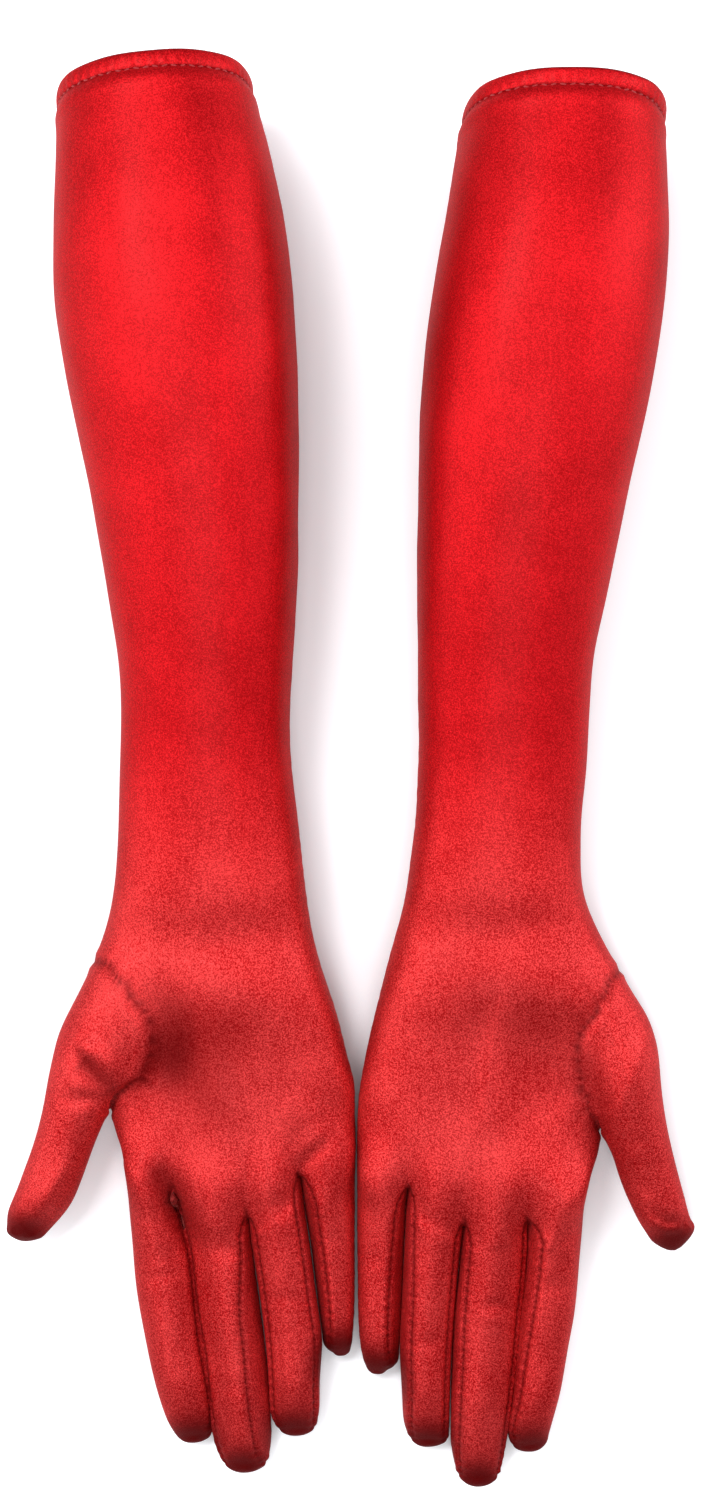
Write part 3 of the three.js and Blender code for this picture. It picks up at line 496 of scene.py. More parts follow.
def refined(P, faces, level):
    """The smooth surface that passes through the net's points, as (points, quads, part number of each quad)."""
    names = list(P)
    number = {n: i for i, n in enumerate(names)}
    target = np.array([P[n] for n in names])
    ob = mesh_object("cage", target, [[number[i] for i in ids] for _, ids in faces])
    ob.data.polygons.foreach_set("material_index", [PARTS.index(p) for p, _ in faces])
    for _ in PARTS:
        ob.data.materials.append(None)
    sub = ob.modifiers.new("s", "SUBSURF")
    sub.levels = sub.render_levels = 1
    sub.use_limit_surface = True
    cage = target.copy()

    def evaluated():
        ob.data.vertices.foreach_set("co", cage.astype(np.float32).ravel())
        ob.data.update()
        dg = bpy.context.evaluated_depsgraph_get()
        dg.update()
        me = ob.evaluated_get(dg).to_mesh()
        v = np.zeros(len(me.vertices) * 3, np.float32)
        me.vertices.foreach_get("co", v)
        return me, v.reshape(-1, 3).astype(float)

    for _ in range(14):
        _, v = evaluated()
        cage += 0.9 * (target - v[: len(target)])
    sub.levels = level
    me, v = evaluated()
    q = np.zeros(len(me.polygons) * 4, np.int32)
    me.polygons.foreach_get("vertices", q)
    m = np.zeros(len(me.polygons), np.int32)
    me.polygons.foreach_get("material_index", m)
    data = ob.data
    bpy.data.objects.remove(ob)
    bpy.data.meshes.remove(data)
    return v, q.reshape(-1, 4), m, number


def border(Q, M, first, second):
    """Edges between faces of the parts in first and those in second."""
    owner = {}
    out = []
    for face, part in zip(Q.tolist(), M.tolist()):
        if part not in first and part not in second:
            continue
        for k in range(4):
            e = (min(face[k], face[k - 1]), max(face[k], face[k - 1]))
            if e in owner:
                other = owner[e]
                if (other in first and part in second) or (other in second and part in first):
                    out.append(e)
            else:
                owner[e] = part
    return out


def chains(edges):
    """Edges joined into paths of vertex numbers; a closed one ends where it starts."""
    near = {}
    for a, b in edges:
        near.setdefault(a, []).append(b)
        near.setdefault(b, []).append(a)
    left = {frozenset(e) for e in edges}
    out = []
    while left:
        ends = sorted(v for v in near if sum(frozenset((v, w)) in left for w in near[v]) == 1)
        start = ends[0] if ends else min(next(iter(sorted(map(sorted, left)))))
        path = [start]
        while True:
            step = [w for w in near[path[-1]] if frozenset((path[-1], w)) in left]
            if not step:
                break
            left.discard(frozenset((path[-1], step[0])))
            path.append(step[0])
        out.append(path)
    return out


def along(points, step=0.2):
    """Points every step mm along a path, with their distance from its start."""
    p = np.asarray(points, float)
    seg = np.linalg.norm(np.diff(p, axis=0), axis=1)
    s = np.concatenate([[0], np.cumsum(seg)])
    t = np.arange(0, s[-1], step)
    return np.stack([np.interp(t, s, p[:, k]) for k in range(3)], 1), t, s[-1]


def nearest(V, paths, reach):
    """(distance, place along the path, path number) of each vertex's nearest seam point, far ones at reach."""
    total = [along(p) for p in paths]
    tree = KDTree(sum(len(t[0]) for t in total))
    info = []
    for k, (pts, s, _) in enumerate(total):
        for p, x in zip(pts, s):
            tree.insert(p, len(info))
            info.append((x, k))
    tree.balance()
    every = np.concatenate([t[0] for t in total])
    lo, hi = every.min(0) - reach, every.max(0) + reach
    d = np.full(len(V), float(reach))
    s = np.zeros(len(V))
    which = np.full(len(V), -1)
    for i in np.nonzero(((V > lo) & (V < hi)).all(1))[0]:
        _, j, dist = tree.find(V[i])
        if dist < reach:
            d[i], s[i], which[i] = dist, info[j][0], info[j][1]
    return d, s, which


def line_distance(XY, pts):
    """(distance from a path in plan, share of the way along it)."""
    p = np.array(pts, float)
    best = np.full(len(XY), 1e9)
    share = np.zeros(len(XY))
    lengths = np.linalg.norm(np.diff(p, axis=0), axis=1)
    total = lengths.sum()
    done = 0.0
    for a, b, l in zip(p[:-1], p[1:], lengths):
        t = np.clip(((XY - a) @ (b - a)) / (l * l), 0, 1)
        d = np.linalg.norm(XY - (a + t[:, None] * (b - a)), axis=1)
        closer = d < best
        best[closer] = d[closer]
        share[closer] = (done + t[closer] * l) / total
        done += l
    return best, share


def waves(V, seed, scale):
    """Slow smooth unevenness of the cloth, from -1 to 1."""
    rng = np.random.RandomState(seed)
    out = np.zeros(len(V))
    for _ in range(9):
        k = rng.normal(size=3) * np.array([1.0, 0.8, 1.0])
        out += np.sin((V @ (k / np.linalg.norm(k))) * 2 * math.pi / (scale * rng.uniform(0.7, 1.5)) + rng.uniform(0, 6.28))
    return out / 9 * 1.8


# ---- materials -----------------------------------------------------------------------------------
def nodes_of(mat):
    mat.use_nodes = True
    nt = mat.node_tree
    nt.nodes.clear()
    out = nt.nodes.new("ShaderNodeOutputMaterial")
    bsdf = nt.nodes.new("ShaderNodeBsdfPrincipled")
    nt.links.new(bsdf.outputs[0], out.inputs[0])
    return nt, bsdf


def math_node(nt, op, a, b=None, c=None):
    n = nt.nodes.new("ShaderNodeMath")
    n.operation = op
    for k, x in enumerate((a, b, c)):
        if x is None:
            continue
        if isinstance(x, (int, float)):
            n.inputs[k].default_value = x
        else:
            nt.links.new(x, n.inputs[k])
    return n.outputs[0]


def mix_colour(nt, factor, a, b):
    n = nt.nodes.new("ShaderNodeMix")
    n.data_type = "RGBA"
    for socket, x in ((n.inputs[0], factor), (n.inputs[6], a), (n.inputs[7], b)):
        if isinstance(x, (tuple, list)):
            socket.default_value = (*x[:3], 1)
        elif isinstance(x, (int, float)):
            socket.default_value = x
        else:
            nt.links.new(x, socket)
    return n.outputs[2]


def cloth_point(nt, scale):
    a = nt.nodes.new("ShaderNodeAttribute")
    a.attribute_name = "rest"
    m = nt.nodes.new("ShaderNodeVectorMath")
    m.operation = "MULTIPLY"
    m.inputs[1].default_value = scale
    nt.links.new(a.outputs["Vector"], m.inputs[0])
    return m.outputs[0]


def noise(nt, vector, scale, detail=2.0, rough=0.5):
    n = nt.nodes.new("ShaderNodeTexNoise")
    n.inputs["Scale"].default_value = scale
    n.inputs["Detail"].default_value = detail
    n.inputs["Roughness"].default_value = rough
    nt.links.new(vector, n.inputs["Vector"])
    return n.outputs["Fac"]


def span(nt, x, a, b, lo=0.0, hi=1.0):
    n = nt.nodes.new("ShaderNodeMapRange")
    n.interpolation_type = "SMOOTHSTEP"
    for k, v in zip(("From Min", "From Max", "To Min", "To Max"), (a, b, lo, hi)):
        n.inputs[k].default_value = v
    nt.links.new(x, n.inputs["Value"])
    return n.outputs[0]


def satin(name, deep, bright, metallic=0.35, rough=0.42, grain=1.0, sheen=0.25, sheen_tint=(1.0, 0.25, 0.22), spec=0.28, coat=0.0):
    """Stretch satin: a warp-faced weave with a grainy gloss, a painted highlight that makes the hands paler, and
    painted shade along its seams, at the finger ends and in hollows.
    """
    mat = bpy.data.materials.new(name)
    nt, b = nodes_of(mat)
    fine = noise(nt, cloth_point(nt, (1, 1, 1)), 1.95, 3.0, 0.65)
    speck = noise(nt, cloth_point(nt, (1.0, 0.55, 1.0)), 3.8, 2.0, 0.6)
    broad = noise(nt, cloth_point(nt, (1, 1, 1)), 0.045, 3.0, 0.5)
    streak = noise(nt, cloth_point(nt, (0.5, 0.06, 0.5)), 1.1, 2.0, 0.6)
    # floats of the weave: short raised dashes in a diagonal order
    wave = nt.nodes.new("ShaderNodeTexWave")
    wave.wave_type, wave.bands_direction = "BANDS", "DIAGONAL"
    wave.inputs["Scale"].default_value = 2.4
    wave.inputs["Distortion"].default_value = 1.2
    wave.inputs["Detail"].default_value = 1.0
    wave.inputs["Detail Scale"].default_value = 2.0
    nt.links.new(cloth_point(nt, (1.0, 0.6, 1.0)), wave.inputs["Vector"])
    seam = nt.nodes.new("ShaderNodeAttribute")
    seam.attribute_name = "seam"
    g = math_node(nt, "ADD", math_node(nt, "MULTIPLY", fine, 0.55), math_node(nt, "MULTIPLY", speck, 0.45))
    where = nt.nodes.new("ShaderNodeSeparateXYZ")
    nt.links.new(cloth_point(nt, (1, 1, 1)), where.inputs[0])
    # painted highlight: towards the hands the bright tone is mixed with a paler, whiter red
    highlight_on_hands = span(nt, math_node(nt, "MULTIPLY", where.outputs["Y"], -1.0), -10.0, 70.0)
    tone = math_node(nt, "ADD", span(nt, g, 0.41, 0.60), math_node(nt, "MULTIPLY", math_node(nt, "SUBTRACT", broad, 0.5), 0.9))
    tone = math_node(nt, "ADD", tone, math_node(nt, "MULTIPLY", math_node(nt, "SUBTRACT", streak, 0.5), 0.35))
    tone = math_node(nt, "MINIMUM", math_node(nt, "MAXIMUM", tone, 0.0), 1.0)
    painted_highlight = (min(1.0, bright[0] * 1.14), bright[1] * 6.5, bright[2] * 4.0)
    colour = mix_colour(nt, tone, deep, mix_colour(nt, math_node(nt, "MULTIPLY", highlight_on_hands, 0.9), bright, painted_highlight))
    # painted shade: the colour is darkened by the vertex attribute that holds painted shade along seams, at the finger
    # ends and in hollows
    painted_shade_colour = tuple(c * 0.34 for c in deep)
    colour = mix_colour(nt, math_node(nt, "MULTIPLY", seam.outputs["Fac"], 0.94), colour, painted_shade_colour)
    nt.links.new(colour, b.inputs["Base Color"])
    r = math_node(nt, "ADD", rough - 0.05, math_node(nt, "MULTIPLY", g, 0.10))
    r = math_node(nt, "ADD", r, math_node(nt, "MULTIPLY", seam.outputs["Fac"], 0.12))
    nt.links.new(r, b.inputs["Roughness"])
    b.inputs["Metallic"].default_value = metallic
    b.inputs["Specular IOR Level"].default_value = spec
    b.inputs["Specular Tint"].default_value = (1.0, 0.35, 0.32, 1)
    b.inputs["Coat Weight"].default_value = coat
    b.inputs["Coat Roughness"].default_value = 0.40
    b.inputs["Coat IOR"].default_value = 1.5
    b.inputs["Sheen Weight"].default_value = sheen
    b.inputs["Sheen Roughness"].default_value = 0.38
    b.inputs["Sheen Tint"].default_value = (*sheen_tint, 1)
    height = math_node(nt, "ADD", math_node(nt, "MULTIPLY", g, 1.0), math_node(nt, "MULTIPLY", wave.outputs["Fac"], 0.12))
    height = math_node(nt, "ADD", height, math_node(nt, "MULTIPLY", streak, 0.35))
    bump = nt.nodes.new("ShaderNodeBump")
    bump.inputs["Strength"].default_value = 0.55 * grain
    bump.inputs["Distance"].default_value = 0.00022
    nt.links.new(height, bump.inputs["Height"])
    nt.links.new(bump.outputs[0], b.inputs["Normal"])
    return mat


def thread_material(name, colour, rough=0.5):
    mat = bpy.data.materials.new(name)
    nt, b = nodes_of(mat)
    wave = nt.nodes.new("ShaderNodeTexWave")
    wave.wave_type, wave.bands_direction = "BANDS", "DIAGONAL"
    wave.inputs["Scale"].default_value = 3.5
    wave.inputs["Distortion"].default_value = 0.4
    nt.links.new(cloth_point(nt, (1, 1, 1)), wave.inputs["Vector"])
    n = noise(nt, cloth_point(nt, (1, 1, 1)), 2.0, 2.0)
    tone = math_node(nt, "MULTIPLY", math_node(nt, "ADD", wave.outputs["Fac"], n), 0.5)
    nt.links.new(mix_colour(nt, tone, tuple(c * 0.55 for c in colour), colour), b.inputs["Base Color"])
    nt.links.new(math_node(nt, "ADD", rough, math_node(nt, "MULTIPLY", n, 0.15)), b.inputs["Roughness"])
    b.inputs["Sheen Weight"].default_value = 0.2
    b.inputs["Sheen Roughness"].default_value = 0.4
    bump = nt.nodes.new("ShaderNodeBump")
    bump.inputs["Strength"].default_value = 0.6
    bump.inputs["Distance"].default_value = 0.00015
    nt.links.new(wave.outputs["Fac"], bump.inputs["Height"])
    nt.links.new(bump.outputs[0], b.inputs["Normal"])
    return mat


SATIN = satin("red_satin", (0.38, 0.0008, 0.003), (0.76, 0.010, 0.016), metallic=0.55, rough=0.43, grain=1.5, sheen=0.02, spec=0.2, coat=0.08)
# the fourchette copy is darker than the main satin: painted shade on the strips between the fingers
FOURCHETTE = satin("red_satin_fourchette", (0.32, 0.0008, 0.003), (0.66, 0.008, 0.013), metallic=0.53, rough=0.45, grain=1.5, sheen=0.02, spec=0.2, coat=0.07)
INSIDE = satin("red_satin_inside", (0.34, 0.006, 0.012), (0.48, 0.014, 0.02), metallic=0.0, rough=0.62, sheen=0.12, spec=0.2)
THREAD = thread_material("red_thread", (0.62, 0.03, 0.035))
ELASTIC = thread_material("elastic_braid", (0.72, 0.62, 0.56), 0.7)


# ---- pieces --------------------------------------------------------------------------------------
def attributes(ob, rest, seam):
    a = ob.data.attributes.new("rest", "FLOAT_VECTOR", "POINT")
    a.data.foreach_set("vector", np.asarray(rest, np.float32).ravel())
    a = ob.data.attributes.new("seam", "FLOAT", "POINT")
    a.data.foreach_set("value", np.asarray(seam, np.float32))


def shell(name, V, N, Q, seam, outer, inner, cloth=CLOTH):
    """A thin closed piece of cloth: the outer faces Q, an inner layer, and a rim."""
    used, back = np.unique(Q, return_inverse=True)
    q = back.reshape(-1, 4)
    n = len(used)
    O, nn = V[used], N[used]
    I = O - nn * cloth
    edges = {}
    for f in q.tolist():
        for k in range(4):
            edges[(f[k], f[(k + 1) % 4])] = True
    rim = [(a, b) for a, b in edges if (b, a) not in edges]
    polys = np.concatenate([q, q[:, ::-1] + n, np.array([[b, a, a + n, b + n] for a, b in rim], int).reshape(-1, 4)])
    ob = mesh_object(name, np.concatenate([O, I]) * MM + SHIFT * MM, polys, (outer, inner))
    m = np.zeros(len(polys), np.int32)
    m[len(q): 2 * len(q)] = 1
    ob.data.polygons.foreach_set("material_index", m)
    ob.data.polygons.foreach_set("use_smooth", np.ones(len(polys), bool))
    corner = np.zeros((len(polys) * 4, 3))
    corner[: len(q) * 4] = nn[q.ravel()]
    corner[len(q) * 4: len(q) * 8] = -nn[q[:, ::-1].ravel()]
    all_v = np.concatenate([O, I])
    r = polys[2 * len(q):]
    if len(r):
        fn = np.cross(all_v[r[:, 2]] - all_v[r[:, 0]], all_v[r[:, 3]] - all_v[r[:, 1]])
        fn /= np.maximum(np.linalg.norm(fn, axis=1, keepdims=True), 1e-12)
        corner[len(q) * 8:] = np.repeat(fn, 4, axis=0)
    ob.data.normals_split_custom_set([tuple(x) for x in corner.tolist()])
    attributes(ob, np.concatenate([O, I]), np.concatenate([seam[used], seam[used]]))
    a, b, c, d = (O[q[:, k]] for k in range(4))
    area = float((np.linalg.norm(np.cross(b - a, c - a), axis=1) + np.linalg.norm(np.cross(c - a, d - a), axis=1)).sum() / 2)
    return ob, area


def ring_sweep(name, rings, mat, rest_shift=0.0, closed_section=True):
    """Rings of section points, one ring a step round the cuff, as a closed tube."""
    rings = np.asarray(rings)
    n, m = rings.shape[:2]
    polys = [[j * m + k, ((j + 1) % n) * m + k, ((j + 1) % n) * m + (k + 1) % m, j * m + (k + 1) % m] for j in range(n) for k in range(m)]
    V = rings.reshape(-1, 3)
    # faces out: the volume by the divergence theorem is positive
    q = np.array(polys)
    vol = np.einsum("ij,ij->i", V[q[:, 0]], np.cross(V[q[:, 1]], V[q[:, 2]]) + np.cross(V[q[:, 2]], V[q[:, 3]])).sum()
    if vol < 0:
        q = q[:, ::-1]
    ob = mesh_object(name, V * MM + SHIFT * MM, q, (mat,))
    ob.data.polygons.foreach_set("use_smooth", np.ones(len(q), bool))
    attributes(ob, V, np.zeros(len(V)))
    return ob, V, q


def resample_loop(X, n):
    """n points evenly by index round a closed loop, on a smooth curve."""
    X = np.asarray(X, float)
    m = len(X)
    t = np.arange(n) * m / n
    i = np.floor(t).astype(int)
    u = (t - i)[:, None]
    p0, p1, p2, p3 = X[(i - 1) % m], X[i % m], X[(i + 1) % m], X[(i + 2) % m]
    return 0.5 * (2 * p1 + (p2 - p0) * u + (2 * p0 - 5 * p1 + 4 * p2 - p3) * u**2 + (3 * p1 - p0 - 3 * p2 + p3) * u**3)


def stitches(name, points, normals, length, gap, radius, mat, sink=0.0, zig=0.0):
    """A row of short thread stitches, each a small closed capsule that dips at its ends."""
    pts, s, total = along(np.concatenate([points, points[:1]]), 0.1)
    nrm = np.stack([np.interp(np.linspace(0, len(points), len(pts)), np.arange(len(points) + 1), np.concatenate([normals, normals[:1]])[:, k]) for k in range(3)], 1)
    count = int(total // (length + gap))
    pitch = total / count
    V, F = [], []
    SEG, SIDES = 6, 6
    for c in range(count):
        base = len(V)
        centre_line = []
        for j in range(SEG + 1):
            u = j / SEG
            at = (c * pitch + u * length) / total * (len(pts) - 1)
            i = int(min(at, len(pts) - 2))
            f = at - i
            p = pts[i] * (1 - f) + pts[i + 1] * f
            n = nrm[i] / np.linalg.norm(nrm[i])
            t = pts[min(i + 3, len(pts) - 1)] - pts[max(i - 3, 0)]
            t /= np.linalg.norm(t)
            side = np.cross(n, t)
            lift = math.sin(math.pi * u) ** 0.6 * radius * 0.9 - sink
            centre_line.append((p + n * lift + side * zig * (u - 0.5) * (1 if c % 2 else -1), n, side, radius * (0.45 + 0.55 * math.sin(math.pi * min(max(u, 0.04), 0.96)) ** 0.5)))
        for p, n, side, r in centre_line:
            for k in range(SIDES):
                a = 2 * math.pi * k / SIDES
                V.append(p + (n * math.cos(a) + side * math.sin(a)) * r)
        for j in range(SEG):
            for k in range(SIDES):
                a, b = base + j * SIDES + k, base + j * SIDES + (k + 1) % SIDES
                F.append([a, a + SIDES, b + SIDES, b])
        F.append([base + k for k in range(SIDES)])
        F.append([base + SEG * SIDES + k for k in range(SIDES)][::-1])
    V = np.array(V)
    ob = mesh_object(name, V * MM + SHIFT * MM, F, (mat,))
    ob.data.polygons.foreach_set("use_smooth", np.ones(len(F), bool))
    attributes(ob, V, np.zeros(len(V)))
    v = V[np.array([f[:4] for f in F])]
    vol = np.einsum("ij,ij->i", v[:, 0], np.cross(v[:, 1], v[:, 2]) + np.cross(v[:, 2], v[:, 3])).sum()
    if vol < 0:
        ob.data.flip_normals()
    return ob


def flat_size(V, Q, along_axis):
    """(width, length) in metres of the flat cut: its length along the axis and its widest girth."""
    c = V[Q].mean(1)
    a, b, cc, d = (V[Q[:, k]] for k in range(4))
    area = (np.linalg.norm(np.cross(b - a, cc - a), axis=1) + np.linalg.norm(np.cross(cc - a, d - a), axis=1)) / 2
    t = c @ along_axis
    lo, hi = t.min(), t.max()
    bins = max(4, int((hi - lo) / 6))
    total = np.zeros(bins)
    k = np.minimum(((t - lo) / (hi - lo) * bins).astype(int), bins - 1)
    np.add.at(total, k, area)
    width = total.max() / ((hi - lo) / bins)
    vt = V[np.unique(Q)] @ along_axis
    return width * MM, (vt.max() - vt.min()) * MM, area.sum() * MM * MM


SIZES = {}


def make_glove(side, seed):
    G = GLOVE[side]
    R = G["radial"]
    P, faces = net(G, OPENS[side], SEAMS[side], CONTACT[side])
    V, Q, M, number = refined(P, faces, LEVEL)
    N = quad_normals(V, Q)
    pid = {p: i for i, p in enumerate(PARTS)}
    part_of = np.full(len(V), -1)
    for i in range(len(PARTS)):
        part_of[np.unique(Q[M == i])] = i

    # seams as paths of vertices
    finger_seams, finger_seam_parts = [], []
    for i, f in enumerate(FINGERS):
        for s in ("little_side", "thumb_side"):
            leg = pid[f"{f}_{s}"]
            if not (M == leg).any():
                continue
            for face in ("front", "back"):
                e = border(Q, M, {pid[f"{f}_{face}"]}, {leg})
                finger_seams += chains(e)
    side_seams = chains(border(Q, M, {pid["little_front"]}, {pid["little_back"]}))
    middle_x = {r: (G["rows"][r][2] + G["rows"][r][3]) / 2 for r in range(len(G["rows"]))}
    long_seams = [c for c in chains(border(Q, M, {pid["palm"]}, {pid["backhand"]})) if np.mean([V[v][0] for v in c]) * -R > np.mean(list(middle_x.values())) * -R]
    thumb_seams = chains(border(Q, M, {pid["thumb"]}, {pid["palm"], pid["backhand"]}))
    web_edges = []
    for i in range(3):
        web_edges += chains(border(Q, M, {pid[f"{FINGERS[i]}_little_side"]}, {pid[f"{FINGERS[i + 1]}_thumb_side"]}))

    # the root of the thumb is eased so that it rolls softly into the palm
    from_seam, _, _ = nearest(V, [V[c] for c in thumb_seams], 40.0)
    root_of_thumb = np.where(part_of == pid["thumb"], smooth(from_seam, 0.6, 5.0) * (1 - smooth(from_seam, 24.0, 34.0)) * smooth(V[:, 2], 9.0, 17.0), 0)
    V = eased(V, Q, root_of_thumb, 110)
    N = quad_normals(V, Q)
    D = np.zeros(len(V))           # movement along the normal, mm
    Z = np.zeros(len(V))           # movement up, mm
    up = smooth(N[:, 2], 0.05, 0.45)
    # folds and swellings of the palm side
    groups = {"palm": [pid["palm"]], "thumb": [pid["thumb"]]}
    for f in FINGERS:
        groups[f] = [pid[f"{f}_{s}"] for s in ("front", "little_side", "thumb_side")]
    XY = V[:, :2]
    reach_of = {}
    for where, kind, place, width, amount in FOLDS[side]:
        if kind == "spot":
            c = np.array(place)
            d = np.sqrt((((XY - c) / np.array(width)) ** 2).sum(1))
            w = np.exp(-0.5 * d * d)
        else:
            d, share = line_distance(XY, place)
            w = np.exp(-0.5 * (d / width) ** 2) * np.sin(np.clip(share, 0.04, 0.96) * math.pi) ** 0.5
        # a fold fades out across its piece's seam
        if where in ("thumb",):
            keep = np.isin(part_of, groups[where])
            dist, _, _ = nearest(V, [V[c] for c in thumb_seams], 3.0)
            w = w * keep * smooth(dist, 0.0, 2.5)
        elif where == "palm":
            keep = ~np.isin(part_of, groups["thumb"])
            w = w * keep
        Z += amount * w * up
    # slow unevenness everywhere, less on the fingers
    calm = np.where(np.isin(part_of, [pid["palm"], pid["backhand"], pid["hemstrip"]]), 1.0, 0.35)
    calm = np.where(np.isin(part_of, [pid[f"{f}_{s}"] for f in FINGERS for s in ("little_side", "thumb_side")]), 0.0, calm)
    D += calm * (0.42 * waves(V, seed, 62.0) + 0.16 * waves(V, seed + 5, 23.0))
    # the y of the hem's lower edge, which nothing further reads
    hem_y = G["rows"][1][0]
    # seams: grooves and puckers in the cloth, with painted shade along them
    seam = np.zeros(len(V))

    def groove(paths, depth, width, pucker, period, reach=6.0, shade=1.0, phase=0.0):
        nonlocal D, seam
        if not paths:
            return
        d, s, which = nearest(V, [V[c] for c in paths], reach)
        on = which >= 0
        a = -depth * np.exp(-((d / width) ** 2))
        a += 0.35 * depth * np.exp(-(((d - 2.1 * width) / (1.1 * width)) ** 2))
        ripple = np.sin(2 * math.pi * s / period + phase + which * 1.7) + 0.45 * np.sin(2 * math.pi * s / (period * 1.63) + which)
        a += pucker * ripple * np.exp(-((d / (2.6 * width)) ** 2))
        D += np.where(on, a, 0)
        # painted shade along the groove, in stitch-length dashes
        seam = np.maximum(seam, np.where(on, shade * np.exp(-((d / (0.75 * width)) ** 2)) * (0.75 + 0.25 * np.sin(2 * math.pi * s / 2.1)), 0))

    tip_fade = np.ones(len(V))
    for F in G["fingers"]:
        d = np.linalg.norm(V[:, :2] - np.array(F["tip"][:2]), axis=1)
        tip_fade = np.minimum(tip_fade, smooth(d, 3.0, 11.0))
    groove(finger_seams, 0.5, 0.8, 0.15, 3.1)
    groove(side_seams + long_seams, 0.42, 0.9, 0.07, 4.2, shade=0.8)
    groove(thumb_seams, 0.62, 1.0, 0.10, 3.6, shade=0.9)
    groove(web_edges, 0.25, 1.1, 0.0, 3.0, shade=0.9)
    D *= 0.15 + 0.85 * tip_fade
    V2 = V + N * D[:, None]
    V2[:, 2] += Z * (0.3 + 0.7 * tip_fade)
    flat = (V[:, 2] < 0.6) & (N[:, 2] < -0.6)
    V2[:, 2] = np.where(flat, np.maximum(V2[:, 2], 0.15), np.maximum(V2[:, 2], 0.1))
    # the stitch line of the hem draws the cloth in
    hem_edges = border(Q, M, {pid["hemstrip"]}, {pid["palm"], pid["backhand"]})
    d, s, which = nearest(V2, [V2[c] for c in chains(hem_edges)], 14.0)
    N2 = quad_normals(V2, Q)
    below = np.isin(part_of, [pid["palm"], pid["backhand"]]) & (which >= 0)
    draw = -0.55 * np.exp(-((d / 1.3) ** 2)) + 0.35 * np.exp(-(((d - 3.2) / 2.2) ** 2)) + 0.10 * np.sin(2 * math.pi * s / 3.4) * np.exp(-((d / 3.0) ** 2))
    V2 += N2 * (draw * below)[:, None]
    V2[:, 2] = np.maximum(V2[:, 2], 0.1)
    N2 = quad_normals(V2, Q)
    # painted shade along the hem's stitch line
    seam = np.maximum(seam, np.where(below, 0.6 * np.exp(-((d / 0.9) ** 2)), 0))

    # painted shade: the colour is darkened at the rounded ends of the fingers and thumb and in the hollows, where they
    # turn from the light
    for F in (*G["fingers"], G["thumb"]):
        d = np.linalg.norm(V[:, :2] - np.array(F["tip"][:2]), axis=1)
        seam = np.maximum(seam, 1 - smooth(d, 4.0, 15.5))
    for kind, spots, amount in PAINTED_HOLLOW_SHADE[side]:
        if kind == "spot":
            (x, y), (rx, ry) = spots
            w = np.exp(-(((V[:, 0] - x) / rx) ** 2) - (((V[:, 1] - y) / ry) ** 2))
        else:
            w = np.exp(-((line_distance(V[:, :2], spots[0])[0] / spots[1]) ** 2))
        seam = np.maximum(seam, amount * w * (V[:, 2] > 8))
    bodies = {k: f"{side}_{k}" for k in ("sleeve", "hand", "thumb", *FINGERS)}
    made = []

    def cloth(name, parts, nodes, slot, mat, axis, bend):
        q = Q[np.isin(M, [pid[p] for p in parts])]
        ob, area = shell(f"{side}_{name}_cloth", V2, N2, q, seam, mat, INSIDE)
        width, length, area = flat_size(V2, q, np.array(axis, float))
        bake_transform(ob)
        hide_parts(*[f"{side}_{n}" for n in nodes])
        SIZES[ob.name] = [round(width * 1000, 1), round(length * 1000, 1), round(area * 1e4, 2)]
        made.append(ob)
        return ob

    x_mid = (G["rows"][11][2] + G["rows"][11][3]) / 2
    cloth("trank", ["palm", "backhand"], ["sleeve", "hand"], "satin", SATIN, (0, 1, 0),
          (bodies["sleeve"], bodies["hand"], (x_mid, 4, 20), (x_mid, -60, 20)))
    d_thumb = np.array([R * 0.6 if R < 0 else 0.6, -0.8, 0])
    d_thumb[0] = 0.6 * (1 if R > 0 else -1)
    loop_ids = [n for n in ("r13c19", "r13c0", "r13c1", "r13c2", "r14c2", "r15c2", "r16c2", "r16c1", "r16c0", "r16c19", "r16c18", "r15c18", "r14c18", "r13c18")]
    far = max(float(P[n] @ d_thumb) for n in loop_ids) + 0.6
    cloth("thumb", ["thumb"], ["thumb"], "satin", SATIN, (0, 1, 0),
          (bodies["hand"], bodies["thumb"], d_thumb * far, d_thumb * (far + 20)))
    last = len(G["rows"])
    for i, f in enumerate(FINGERS):
        st = np.array(G["fingers"][i]["st"], float)
        a0, a1 = np.array([(st[0][0] + st[0][2]) / 2, (st[0][1] + st[0][3]) / 2, 0]), np.array([(st[3][0] + st[3][2]) / 2, (st[3][1] + st[3][3]) / 2, 0])
        d = (a1 - a0) / np.linalg.norm(a1 - a0)
        ring = [f"r{last}c{k}" for k in (2 * i, 2 * i + 1, 2 * i + 2)] + [f"r{last}c{18 - k}" for k in (2 * i, 2 * i + 1, 2 * i + 2)]
        far = max(float(P[n] @ d) for n in ring) + 0.5
        base = a0 - d * float(a0 @ d)
        bend = (bodies["hand"], bodies[f], base + d * far, base + d * (far + 17))
        if i == 0:
            cloth("index_front_and_back", ["index_front", "index_back"], ["index_front_and_back"], "satin", SATIN, d, bend)
        else:
            for s in ("front", "back"):
                cloth(f"{f}_{s}", [f"{f}_{s}"], [f"{f}_{s}"], "satin", SATIN, d, bend)
        if i < 3:
            n = f"fourchette_{f}_{FINGERS[i + 1]}_leg_on_{f}"
            cloth(n, [f"{f}_little_side"], [n], "satin_fourchette", FOURCHETTE, d, bend)
        if i > 0:
            n = f"fourchette_{FINGERS[i - 1]}_{f}_leg_on_{f}"
            cloth(n, [f"{f}_thumb_side"], [n], "satin_fourchette", FOURCHETTE, d, bend)

